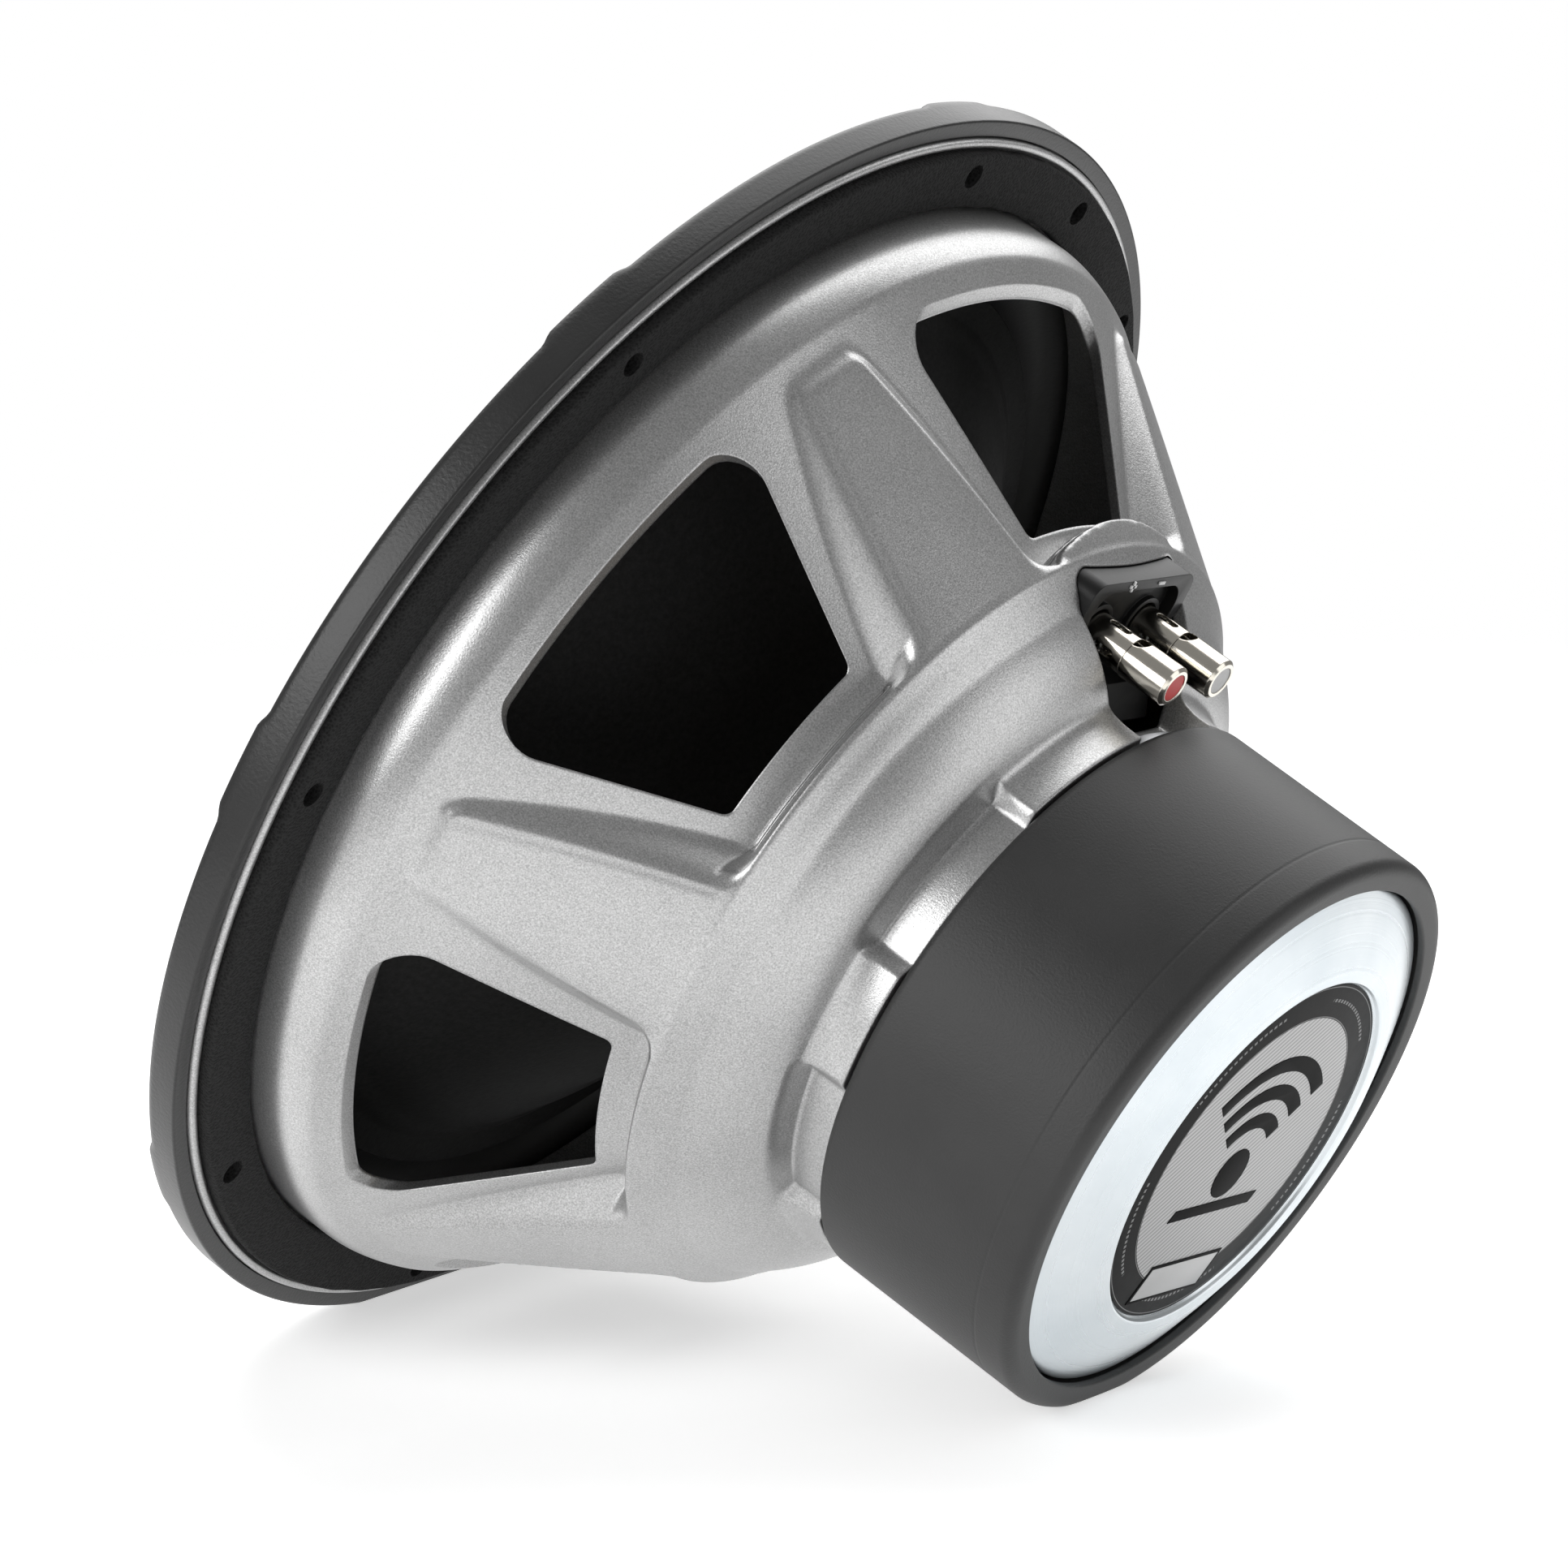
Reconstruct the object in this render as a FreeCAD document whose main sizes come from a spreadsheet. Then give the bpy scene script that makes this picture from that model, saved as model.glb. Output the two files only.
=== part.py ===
import FreeCAD, Part

import math
import os

import Sketcher
from FreeCAD import Vector

# A 12 inch car subwoofer, standing on the rear face of its motor with the cone facing up.
# +Z is the speaker axis, towards the listener; the origin is the middle of the rear face.
# The terminals are on the -Y side.  All sizes are millimetres and degrees.

DIMENSIONS = {
    # back plate with its raised centre and pole
    "rear_lip_radius": 48.2,
    "label_recess_radius": 44.4,
    "label_recess_depth": 1.6,
    "label_radius": 43.9,
    "label_thickness": 0.4,
    "plate_radius": 65.2,
    "plate_edge_height": 7.2,
    "plate_top": 19.0,
    "pole_radius": 30.6,
    "edge_round": 1.2,
    # magnets, top plate and shorting ring
    "magnet_radius": 66.5,
    "magnet_bore": 40.0,
    "magnet_joint": 38.0,
    "magnet_top": 57.0,
    "top_plate_bore": 34.2,
    "top_plate_top": 67.0,
    "shorting_ring_bore": 35.2,
    "shorting_ring_radius": 39.6,
    "shorting_ring_top": 44.0,
    # rubber boot round the motor
    "boot_radius": 72.5,
    "boot_bore": 66.8,
    "boot_rear": 4.6,
    "boot_rear_lip_radius": 65.6,
    "boot_rear_lip_top": 6.8,
    "boot_front": 61.5,
    "boot_rear_round": 6.2,
    "boot_front_round": 5.2,
    # basket
    "flange_radius": 155.6,
    "flange_back": 170.9,
    "flange_front": 173.1,
    "lip_width": 2.0,
    "lip_depth": 1.4,
    "throat_radius": 136.4,
    "shoulder_radius": 139.0,
    "shoulder_base": 161.0,
    "shoulder_round": 33.0,
    "spoke_top_radius": 132.8,
    "spoke_top": 145.0,
    "spoke_base_radius": 97.9,
    "spoke_base": 92.0,
    "neck_top_radius": 90.6,
    "neck_top": 85.4,
    "neck_round": 45.0,
    "neck_base_radius": 74.0,
    "neck_base": 72.0,
    "skirt_radius": 71.8,
    "skirt_turn": 65.0,
    "skirt_base": 61.9,
    "skirt_bore": 66.9,
    "base_radius": 62.0,
    "base_bore": 37.0,
    "wall": 3.0,
    "ledge_radius": 80.0,
    "ledge_top": 101.5,
    "ledge_wall_radius": 91.6,
    "ledge_under_radius": 71.0,
    "ledge_under": 86.0,
    "window_count": 6,
    "window_outer_radius": 132.6,
    "window_outer_height": 147.1,
    "window_inner_radius": 96.4,
    "window_inner_height": 105.3,
    "window_outer_half": 19.3,
    "window_inner_half": 12.2,
    "window_outer_round": 6.5,
    "window_inner_round": 3.0,
    "pocket_half_width": 22.0,
    "pocket_radius": 68.6,
    "pocket_top": 71.2,
    "hole_count": 8,
    "hole_circle": 148.0,
    "hole_radius": 2.75,
    "key_hole_offset": 22.5,
    "key_hole_circle": 146.4,
    # gasket and trim ring
    "gasket_bore": 139.8,
    "gasket_radius": 153.2,
    "gasket_thickness": 4.0,
    "trim_radius": 160.0,
    "trim_bore": 143.4,
    "trim_top": 180.0,
    "trim_seat_radius": 155.9,
    "trim_pad_radius": 9.4,
    "trim_pad_circle": 150.2,
    "trim_pad_height": 1.2,
    # moving assembly
    "former_radius": 31.6,
    "former_wall": 0.4,
    "former_top": 120.0,
    "coil_wall": 1.4,
    "coil_base": 44.0,
    "coil_top": 80.0,
    "collar_wall": 4.0,
    "collar_base": 92.5,
    "collar_top": 97.5,
    "cone_neck_height": 116.0,
    "cone_edge_radius": 113.5,
    "cone_foot_radius": 119.8,
    "cone_edge_back": 171.3,
    "cone_wall": 1.4,
    "dust_cap_radius": 52.0,
    "dust_cap_height": 12.0,
    "dust_cap_wall": 1.0,
    # suspension
    "surround_foot": 1.5,
    "surround_roll_radius": 9.1,
    "surround_roll_centre": 129.0,
    "surround_wall": 1.2,
    "surround_edge_radius": 145.0,
    "spider_wall": 0.9,
    "spider_inner": 37.5,
    "spider_waves": 5,
    "spider_wave_height": 4.0,
    # terminals
    "terminal_distance": 82.0,
    "terminal_spread": 10.4,
    "pad_face": 89.4,
    "pad_radius": 98.6,
    "pad_half_width": 26.0,
    "pad_top": 94.0,
    "block_rear": 84.4,
    "block_outer": 95.3,
    "block_shoulder": 87.0,
    "block_half_width": 22.0,
    "block_foot": 64.2,
    "block_foot_half": 12.5,
    "block_bend": 77.0,
    "block_foot_rear": 74.6,
    "block_corner": 7.5,
    "block_rim": 2.6,
    "well_floor": 87.4,
    "plug_half_width": 17.0,
    "plug_inner": 75.6,
    "plug_outer": 88.4,
    "plug_top": 95.6,
    "bore_radius": 5.3,
    "bore_floor": 92.4,
    "sleeve_radius": 4.7,
    "sleeve_bore": 3.9,
    "sleeve_top": 87.2,
    "cap_seam": 75.0,
    "cap_rear": 62.6,
    "cap_radius": 4.9,
    "cap_floor": 66.0,
    "cap_chamfer": 0.7,
    "insert_radius": 3.3,
    "insert_depth": 0.9,
    "notch_radius": 2.7,
    "wire_hole_radius": 1.9,
    "post_head_radius": 3.5,
    "post_head_rear": 70.2,
    "post_head_top": 78.8,
    "post_stem_radius": 2.0,
    "post_top": 99.2,
    "spring_radius": 3.1,
    "spring_wire": 0.7,
    "spring_turns": 6,
    "lug_thickness": 0.8,
    "nut_flat": 5.5,
    "nut_height": 2.2,
    "lead_radius": 1.2,
    # screws that hold the basket to the top plate
    "screw_count": 6,
    "screw_circle": 50.0,
    "screw_radius": 2.5,
    "screw_head_radius": 4.4,
    "screw_head_height": 3.0,
    "screw_depth": 8.0,
}

DOC = FreeCAD.newDocument("subwoofer")
SHEET = DOC.addObject("Spreadsheet::Sheet", "Sizes")


class Size:
    """A number together with the spreadsheet expression that gives it."""

    def __init__(self, value, text):
        self.value = value
        self.text = text

    def _join(self, other, sign, value):
        right = other if isinstance(other, Size) else Size(float(other), repr(float(other)))
        return Size(value(self.value, right.value), f"({self.text} {sign} {right.text})")

    def __add__(self, other):
        return self._join(other, "+", lambda a, b: a + b)

    def __sub__(self, other):
        return self._join(other, "-", lambda a, b: a - b)

    def __mul__(self, other):
        return self._join(other, "*", lambda a, b: a * b)

    def __truediv__(self, other):
        return self._join(other, "/", lambda a, b: a / b)


def fill_sheet():
    """Put every driving dimension in the sheet as a plain number with its alias."""
    for row, (alias, number) in enumerate(DIMENSIONS.items(), start=1):
        SHEET.set(f"A{row}", alias)
        SHEET.set(f"B{row}", str(number))
        SHEET.setAlias(f"B{row}", alias)
    DOC.recompute()


def size(alias):
    """The sheet's cell as a Size, to use in sketches and primitives."""
    return Size(float(SHEET.get(alias)), f"Sizes.{alias}")


def number(alias):
    """The sheet's cell as a plain number, for shapes built by functions."""
    return float(SHEET.get(alias))


# ---------------------------------------------------------------- sketches and bodies


def origin_plane(body, role):
    """One of the body's own origin planes."""
    return next(item for item in body.Origin.OriginFeatures if item.Role == role)


def arc_between(start, end, radius):
    """An arc from start to end; a positive radius turns left on the way."""
    chord = end - start
    middle = (start + end) * 0.5
    left = Vector(-chord.y, chord.x, 0).normalize()
    height = math.sqrt(radius * radius - chord.Length * chord.Length / 4)
    centre = middle + left * (height if radius > 0 else -height)
    circle = Part.Circle(centre, Vector(0, 0, 1), abs(radius))
    first = math.atan2(start.y - centre.y, start.x - centre.x)
    last = math.atan2(end.y - centre.y, end.x - centre.x)
    if radius > 0:
        return Part.ArcOfCircle(circle, first, last)
    return Part.ArcOfCircle(circle, last, first)


def pin(sketch, kind, place, length):
    """Fix one coordinate of a point to the sheet, or to an axis when it is zero."""
    if abs(length.value) < 1e-9:
        axis = -2 if kind == "DistanceX" else -1
        sketch.addConstraint(Sketcher.Constraint("PointOnObject", *place, axis))
        return
    row = sketch.addConstraint(Sketcher.Constraint(kind, -1, 1, *place, length.value))
    sketch.setExpression(f"Constraints[{row}]", length.text)




def outline(body, name, corners, role="XZ_Plane"):
    """A closed sketch through corners (x, y) or (x, y, arc radius to the next corner)."""
    sketch = body.newObject("Sketcher::SketchObject", name)
    sketch.AttachmentSupport = [(origin_plane(body, role), "")]
    sketch.MapMode = "FlatFace"
    points = [Vector(corner[0].value, corner[1].value, 0) for corner in corners]
    ends = []
    for index, corner in enumerate(corners):
        start = points[index]
        end = points[(index + 1) % len(points)]
        turn = corner[2] if len(corner) > 2 else None
        if turn is None:
            sketch.addGeometry(Part.LineSegment(start, end), False)
            ends.append((1, 2))
        else:
            sketch.addGeometry(arc_between(start, end, turn.value), False)
            ends.append((1, 2) if turn.value > 0 else (2, 1))
    for index, corner in enumerate(corners):
        after = (index + 1) % len(corners)
        sketch.addConstraint(
            Sketcher.Constraint("Coincident", index, ends[index][1], after, ends[after][0])
        )
        place = (index, ends[index][0])
        pin(sketch, "DistanceX", place, corner[0])
        pin(sketch, "DistanceY", place, corner[1])
        if len(corner) > 2:
            row = sketch.addConstraint(Sketcher.Constraint("Radius", index, abs(corner[2].value)))
            text = corner[2].text if corner[2].value > 0 else f"0 - {corner[2].text}"
            sketch.setExpression(f"Constraints[{row}]", text)
    return sketch


def new_body(label):
    """A PartDesign body whose label names its file."""
    body = DOC.addObject("PartDesign::Body", label)
    body.Label = label
    return body


def revolve(body, corners, name="Revolution"):
    """Turn an outline in the XZ plane about the speaker axis."""
    sketch = outline(body, f"{name}Outline", corners)
    feature = body.newObject("PartDesign::Revolution", name)
    feature.Profile = sketch
    feature.ReferenceAxis = (sketch, ["V_Axis"])
    feature.Angle = 360
    DOC.recompute()
    return feature


def turned_body(label, corners):
    """A body that is one turned shape."""
    body = new_body(label)
    revolve(body, corners)
    return body


def rectangle(inner, outer, low, high):
    """Corners of a rectangular ring section."""
    return [(inner, low), (outer, low), (outer, high), (inner, high)]


def circle_edges(shape, radius, height):
    """Names of the full circle edges of one radius at one height."""
    names = []
    for index, edge in enumerate(shape.Edges, start=1):
        curve = edge.Curve
        if not isinstance(curve, Part.Circle):
            continue
        if abs(curve.Radius - radius) < 0.01 and abs(curve.Center.z - height) < 0.01:
            names.append(f"Edge{index}")
    return names


def round_edge(body, feature, radius, height, amount, name):
    """Fillet the circular edges at one radius and height."""
    fillet = body.newObject("PartDesign::Fillet", name)
    fillet.Base = (feature, circle_edges(feature.Shape, radius.value, height.value))
    fillet.Radius = amount.value
    fillet.setExpression("Radius", amount.text)
    DOC.recompute()
    return fillet


def drill_circle(body, name, count, circle, radius, low, high):
    """A ring of round holes cut straight along Z between two heights."""
    sketch = body.newObject("Sketcher::SketchObject", f"{name}Circle")
    sketch.AttachmentSupport = [(origin_plane(body, "XY_Plane"), "")]
    sketch.MapMode = "FlatFace"
    sketch.setExpression("AttachmentOffset.Base.z", high.text)
    sketch.addGeometry(
        Part.Circle(Vector(0, -circle.value, 0), Vector(0, 0, 1), radius.value), False
    )
    sketch.addConstraint(Sketcher.Constraint("PointOnObject", 0, 3, -2))
    row = sketch.addConstraint(Sketcher.Constraint("DistanceY", 0, 3, -1, 1, circle.value))
    sketch.setExpression(f"Constraints[{row}]", circle.text)
    row = sketch.addConstraint(Sketcher.Constraint("Radius", 0, radius.value))
    sketch.setExpression(f"Constraints[{row}]", radius.text)
    DOC.recompute()
    before = body.Shape.Volume
    pocket = body.newObject("PartDesign::Pocket", name)
    pocket.Profile = sketch
    pocket.Length = high.value - low.value
    pocket.setExpression("Length", (high - low).text)
    pattern = body.newObject("PartDesign::PolarPattern", f"{name}Pattern")
    pattern.Originals = [pocket]
    pattern.Axis = (sketch, ["N_Axis"])
    pattern.Angle = 360
    pattern.Occurrences = int(count.value)
    pattern.setExpression("Occurrences", count.text)
    body.Tip = pattern
    DOC.recompute()
    if body.Shape.Volume > before - 1:
        raise RuntimeError(f"{name} cut nothing from {body.Label}")
    return pattern


def function_part(label, shape):
    """A sub-part whose shape comes from Part's own functions."""
    item = DOC.addObject("Part::Feature", label)
    item.Label = label
    item.Shape = shape
    item.Placement = shape.Placement
    return item


# ---------------------------------------------------------------- shapes by function


def face_of(points):
    """A flat face through a closed list of points."""
    return Part.Face(Part.makePolygon(points + [points[0]]))


def turned(section):
    """A solid turned about Z from (radius, height) corners."""
    corners = [Vector(radius, 0, height) for radius, height in section]
    return face_of(corners).revolve(Vector(0, 0, 0), Vector(0, 0, 1), 360)


def cylinder(radius, low, high, x=0.0, y=0.0):
    """An upright cylinder between two heights."""
    return Part.makeCylinder(radius, high - low, Vector(x, y, low))


def spun(shape, degrees):
    """A copy of the shape, turned about Z."""
    copy = shape.copy()
    copy.rotate(Vector(0, 0, 0), Vector(0, 0, 1), degrees)
    return copy


def angles(count, first=-90.0):
    """Evenly spaced angles about Z, starting at the terminals."""
    return [first + 360.0 * index / count for index in range(int(count))]


def frustum(near, near_corners, far, far_corners):
    """A ruled solid between two outlines (y, z) in the planes x = near and x = far."""
    wires = []
    for depth, corners in ((near, near_corners), (far, far_corners)):
        points = [Vector(depth, y, z) for y, z in corners]
        wires.append(Part.makePolygon(points + [points[0]]))
    return Part.makeLoft(wires, True, True)


def rounded_outline(corners):
    """A closed wire through (point, corner radius) pairs, each corner rounded."""
    edges = []
    tangents = []
    count = len(corners)
    for index, (corner, radius) in enumerate(corners):
        before = (corners[index - 1][0] - corner).normalize()
        after = (corners[(index + 1) % count][0] - corner).normalize()
        half = before.getAngle(after) / 2
        reach = radius / math.tan(half)
        centre = corner + (before + after).normalize() * (radius / math.sin(half))
        middle = centre + (corner - centre).normalize() * radius
        tangents.append((corner + before * reach, middle, corner + after * reach))
    for index, (start, middle, end) in enumerate(tangents):
        edges.append(Part.Arc(start, middle, end).toShape())
        edges.append(Part.LineSegment(end, tangents[(index + 1) % count][0]).toShape())
    return Part.Wire(edges)


# ---------------------------------------------------------------- motor


def make_yoke():
    """Zinc plated back plate with its raised centre, forged in one with the pole."""
    body = new_body("t_yoke")
    feature = revolve(
        body,
        [
            (size("label_recess_radius") * 0, size("label_recess_depth")),
            (size("label_recess_radius"), size("label_recess_depth")),
            (size("label_recess_radius"), size("label_recess_depth") * 0),
            (size("rear_lip_radius"), size("label_recess_depth") * 0),
            (size("plate_radius"), size("plate_edge_height")),
            (size("plate_radius"), size("plate_top")),
            (size("pole_radius"), size("plate_top")),
            (size("pole_radius"), size("top_plate_top")),
            (size("pole_radius") * 0, size("top_plate_top")),
        ],
    )
    feature = round_edge(
        body, feature, size("plate_radius"), size("plate_edge_height"), size("edge_round"), "RimRound"
    )
    round_edge(
        body, feature, size("rear_lip_radius"), size("edge_round") * 0, size("edge_round") / 2, "LipRound"
    )


def make_motor():
    """Label, magnets, top plate and shorting ring."""
    label_front = size("label_recess_depth")
    turned_body(
        "back_label",
        [
            (size("label_radius") * 0, label_front - size("label_thickness")),
            (size("label_radius"), label_front - size("label_thickness")),
            (size("label_radius"), label_front),
            (size("label_radius") * 0, label_front),
        ],
    )
    bore = size("magnet_bore")
    radius = size("magnet_radius")
    turned_body("rear_magnet", rectangle(bore, radius, size("plate_top"), size("magnet_joint")))
    turned_body("front_magnet", rectangle(bore, radius, size("magnet_joint"), size("magnet_top")))
    turned_body(
        "shorting_ring",
        rectangle(
            size("shorting_ring_bore"),
            size("shorting_ring_radius"),
            size("plate_top"),
            size("shorting_ring_top"),
        ),
    )
    plate = turned_body(
        "top_plate",
        rectangle(size("top_plate_bore"), radius, size("magnet_top"), size("top_plate_top")),
    )
    drill_circle(
        plate,
        "ThreadedHoles",
        size("screw_count"),
        size("screw_circle"),
        size("screw_radius"),
        size("top_plate_top") - size("screw_depth"),
        size("top_plate_top"),
    )


def make_boot():
    """Rubber sleeve that wraps the magnets, with a lip over the back plate."""
    body = new_body("motor_boot")
    feature = revolve(
        body,
        [
            (size("boot_rear_lip_radius"), size("boot_rear")),
            (size("boot_radius"), size("boot_rear")),
            (size("boot_radius"), size("boot_front")),
            (size("boot_bore"), size("boot_front")),
            (size("boot_bore"), size("boot_rear_lip_top")),
            (size("boot_rear_lip_radius"), size("boot_rear_lip_top")),
        ],
    )
    feature = round_edge(
        body, feature, size("boot_radius"), size("boot_rear"), size("boot_rear_round"), "RearRound"
    )
    round_edge(
        body, feature, size("boot_radius"), size("boot_front"), size("boot_front_round"), "FrontRound"
    )


# ---------------------------------------------------------------- basket


def section_edge(piece):
    """One edge of a section in the XZ plane, straight or an arc."""
    if len(piece) == 2:
        start, end = piece
        return Part.LineSegment(Vector(start[0], 0, start[1]), Vector(end[0], 0, end[1])).toShape()
    start, end, radius = piece
    arc = arc_between(Vector(*start, 0), Vector(*end, 0), radius).toShape()
    arc.rotate(Vector(0, 0, 0), Vector(1, 0, 0), 90)
    return arc


def section_face(pieces):
    """A face in the XZ plane from straight corners and (start, end, radius) arcs."""
    edges = [section_edge(piece) for piece in pieces]
    return Part.Face(Part.Wire(Part.__sortEdges__(edges)))


def basket_shell():
    """The basket before its windows: flange, shoulder, spoke cone, neck and base."""
    outer = number("flange_radius")
    back = number("flange_back")
    lip_inner = outer - number("lip_width")
    lip_rear = back - number("lip_depth")
    front = number("flange_front")
    shoulder = (number("shoulder_radius"), number("shoulder_base"))
    spoke_top = (number("spoke_top_radius"), number("spoke_top"))
    spoke_base = (number("spoke_base_radius"), number("spoke_base"))
    neck_top = (number("neck_top_radius"), number("neck_top"))
    neck_base = (number("neck_base_radius"), number("neck_base"))
    skirt = number("skirt_radius")
    skirt_bore = number("skirt_bore")
    skirt_base = number("skirt_base")
    floor = number("base_radius")
    base = number("top_plate_top")
    wall = number("wall")
    bore = number("base_bore")
    throat = number("throat_radius")
    window_slope = (number("window_outer_radius") - number("window_inner_radius")) / (
        number("window_outer_height") - number("window_inner_height")
    )
    inset = wall * math.sqrt(1 + window_slope * window_slope)
    inner_top = (number("window_outer_radius") - inset, number("window_outer_height"))
    ledge_wall = number("ledge_wall_radius")
    ledge_meets = inner_top[1] - (inner_top[0] - ledge_wall) / window_slope
    ledge_top = number("ledge_top")
    ledge = number("ledge_radius")
    under = (number("ledge_under_radius"), number("ledge_under"))
    corners = [
        (throat, front),
        (outer, front),
        (outer, lip_rear),
        (lip_inner, lip_rear),
        (lip_inner, back),
        (shoulder[0], back),
        shoulder,
    ]
    pieces = [(corners[i], corners[i + 1]) for i in range(len(corners) - 1)]
    pieces.append((shoulder, spoke_top, -number("shoulder_round")))
    pieces.append((spoke_top, spoke_base))
    pieces.append((spoke_base, neck_top))
    pieces.append((neck_top, neck_base, -number("neck_round")))
    inside = [
        neck_base,
        (skirt, number("skirt_turn")),
        (skirt, skirt_base),
        (skirt_bore, skirt_base),
        (skirt_bore, base),
        (bore, base),
        (bore, base + wall),
        (floor, base + wall),
        (number("skirt_bore") + 1.0, number("neck_base") + wall),
        under,
        (ledge, ledge_top - wall),
        (ledge, ledge_top),
        (ledge_wall, ledge_top),
        (ledge_wall, ledge_meets),
        inner_top,
        (throat, number("shoulder_base")),
        (throat, front),
    ]
    pieces += [(inside[i], inside[i + 1]) for i in range(len(inside) - 1)]
    return section_face(pieces).revolve(Vector(0, 0, 0), Vector(0, 0, 1), 360)


def window_floor():
    """Everything inside the sunken surface that carries the windows."""
    top_radius = number("window_outer_radius")
    top = number("window_outer_height")
    low_radius = number("window_inner_radius")
    low = number("window_inner_height")
    slope = (top_radius - low_radius) / (top - low)
    reach = 24.0
    return turned(
        [
            (0, low - reach),
            (low_radius - reach * slope, low - reach),
            (top_radius + reach * slope, top + reach),
            (0, top + reach),
        ]
    )


def rim_cutter():
    """Ring that takes the sunken surface on past the outer ends of the spokes."""
    low = number("window_outer_height")
    return cylinder(160.0, low, number("shoulder_base") - 3.0).cut(window_floor())


def recess_cutter():
    """Sloping sided recess round one window, facing +X."""
    near, far = 80.0, 150.0
    top = number("shoulder_base") - 3.0
    low_near, low_far = 104.9, 59.4
    near_corners = [(-7.6, top), (7.6, top), (15.6, low_near), (-15.6, low_near)]
    far_corners = [(-86.0, top), (86.0, top), (94.0, low_far), (-94.0, low_far)]
    return frustum(near, near_corners, far, far_corners)


def window_cutter():
    """Rounded trapezoid through the wall, facing +X."""
    top_radius = number("window_outer_radius")
    low_radius = number("window_inner_radius")
    top_half = math.radians(number("window_outer_half"))
    low_half = math.radians(number("window_inner_half"))
    top = number("window_outer_height")
    low = number("window_inner_height")
    start = 50.0
    top_corner = top_radius * math.sin(top_half)
    low_corner = low_radius * math.sin(low_half)
    outer_round = number("window_outer_round")
    inner_round = number("window_inner_round")
    wire = rounded_outline(
        [
            (Vector(start, -top_corner, top), outer_round),
            (Vector(start, top_corner, top), outer_round),
            (Vector(start, low_corner, low), inner_round),
            (Vector(start, -low_corner, low), inner_round),
        ]
    )
    return Part.Face(wire).extrude(Vector(110, 0, 0))


def rib_cutter():
    """Hollow behind one spoke, facing +X, inside the spoke's skin."""
    near, far = 40.0, 160.0
    top, low = 140.0, number("ledge_top") + 4.0
    corners = [(-4.0, top), (4.0, top), (11.0, low), (-11.0, low)]
    prism = frustum(near, corners, far, corners)
    slope = (number("spoke_top_radius") - number("spoke_base_radius")) / (
        number("spoke_top") - number("spoke_base")
    )
    inset = number("wall") * math.sqrt(1 + slope * slope)
    reach = 6.0
    core = turned(
        [
            (0, number("spoke_base") - reach),
            (number("spoke_base_radius") - inset - reach * slope, number("spoke_base") - reach),
            (number("spoke_top_radius") - inset + reach * slope, number("spoke_top") + reach),
            (0, number("spoke_top") + reach),
        ]
    )
    return prism.common(core)


def pocket_cutter():
    """Shallow rectangular pocket in the neck under a window, facing +X."""
    half = number("pocket_half_width")
    top = number("pocket_top")
    box = Part.makeBox(40.0, 2 * half, 20.0, Vector(50.0, -half, top - 20.0))
    return box.cut(cylinder(number("pocket_radius"), 0, top + 1))


def terminal_pad():
    """Raised seat for the terminal block, facing +X."""
    half = number("pad_half_width")
    top = number("ledge_top") - 2.0
    radius = number("pad_radius")
    level = number("pad_top")
    base = cylinder(radius, number("pad_face") - 4.0, level)
    base = base.cut(cylinder(number("ledge_under_radius") + 2.0, 0, top))
    back = cylinder(radius, level, top).cut(cylinder(number("plug_outer") + 1.0, level - 1.0, top + 1))
    box = Part.makeBox(60.0, 2 * half, top, Vector(50.0, -half, 0))
    return base.fuse(back).common(box)


def block_outline(grow=0.0):
    """Outline of the terminal block, seen along the axis: arched top, tapering foot."""
    corner = number("block_corner")
    return [
        (Vector(number("block_outer") + grow, -number("block_half_width") - grow, 0), corner),
        (Vector(number("block_outer") + grow, number("block_half_width") + grow, 0), corner),
        (Vector(number("block_shoulder"), number("block_half_width") + grow, 0), 2.0),
        (Vector(number("block_foot") - grow, number("block_foot_half") + grow, 0), 1.5),
        (Vector(number("block_foot") - grow, -number("block_foot_half") - grow, 0), 1.5),
        (Vector(number("block_shoulder"), -number("block_half_width") - grow, 0), 2.0),
    ]


def upright_prism(corners, low, high):
    """A prism along Z over a rounded outline."""
    face = Part.Face(rounded_outline(corners))
    face.translate(Vector(0, 0, low))
    return face.extrude(Vector(0, 0, high - low))


def block_side(lift=0.0):
    """Side view of the block's body, facing +X: flat rear face, then the sloping foot."""
    rear = number("block_rear") - lift
    foot_rear = number("block_foot_rear") - lift
    bend = number("block_bend")
    foot = number("block_foot") - 3.0
    outer = number("block_outer") + 3.0
    slope = (rear - foot_rear) / (bend - number("block_foot"))
    foot_low = rear - (bend - foot) * slope
    seat = number("pad_face")
    seat_foot = foot_low + (seat - rear)
    side = [
        Vector(outer, 0, rear),
        Vector(outer, 0, seat),
        Vector(bend - 1.5, 0, seat),
        Vector(foot, 0, seat_foot),
        Vector(foot, 0, foot_low),
        Vector(bend, 0, rear),
    ]
    half = number("block_half_width") + 3.0
    face = face_of(side)
    face.translate(Vector(0, -half, 0))
    return face.extrude(Vector(0, 2 * half, 0))


def block_seat():
    """Room in the basket for the terminal block, facing +X."""
    clearance = 0.2
    prism = upright_prism(block_outline(clearance), 40.0, 120.0)
    body = block_side().fuse(block_side(6.0)).fuse(block_side(12.0))
    plug = Part.makeBox(
        number("plug_outer") - number("plug_inner") + 2 * clearance,
        2 * (number("plug_half_width") + clearance),
        number("ledge_top") - 1.4 - number("pad_face") + 1.0,
        Vector(
            number("plug_inner") - clearance,
            -number("plug_half_width") - clearance,
            number("pad_face") - 1.0,
        ),
    )
    return prism.common(body).fuse(plug)


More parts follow.
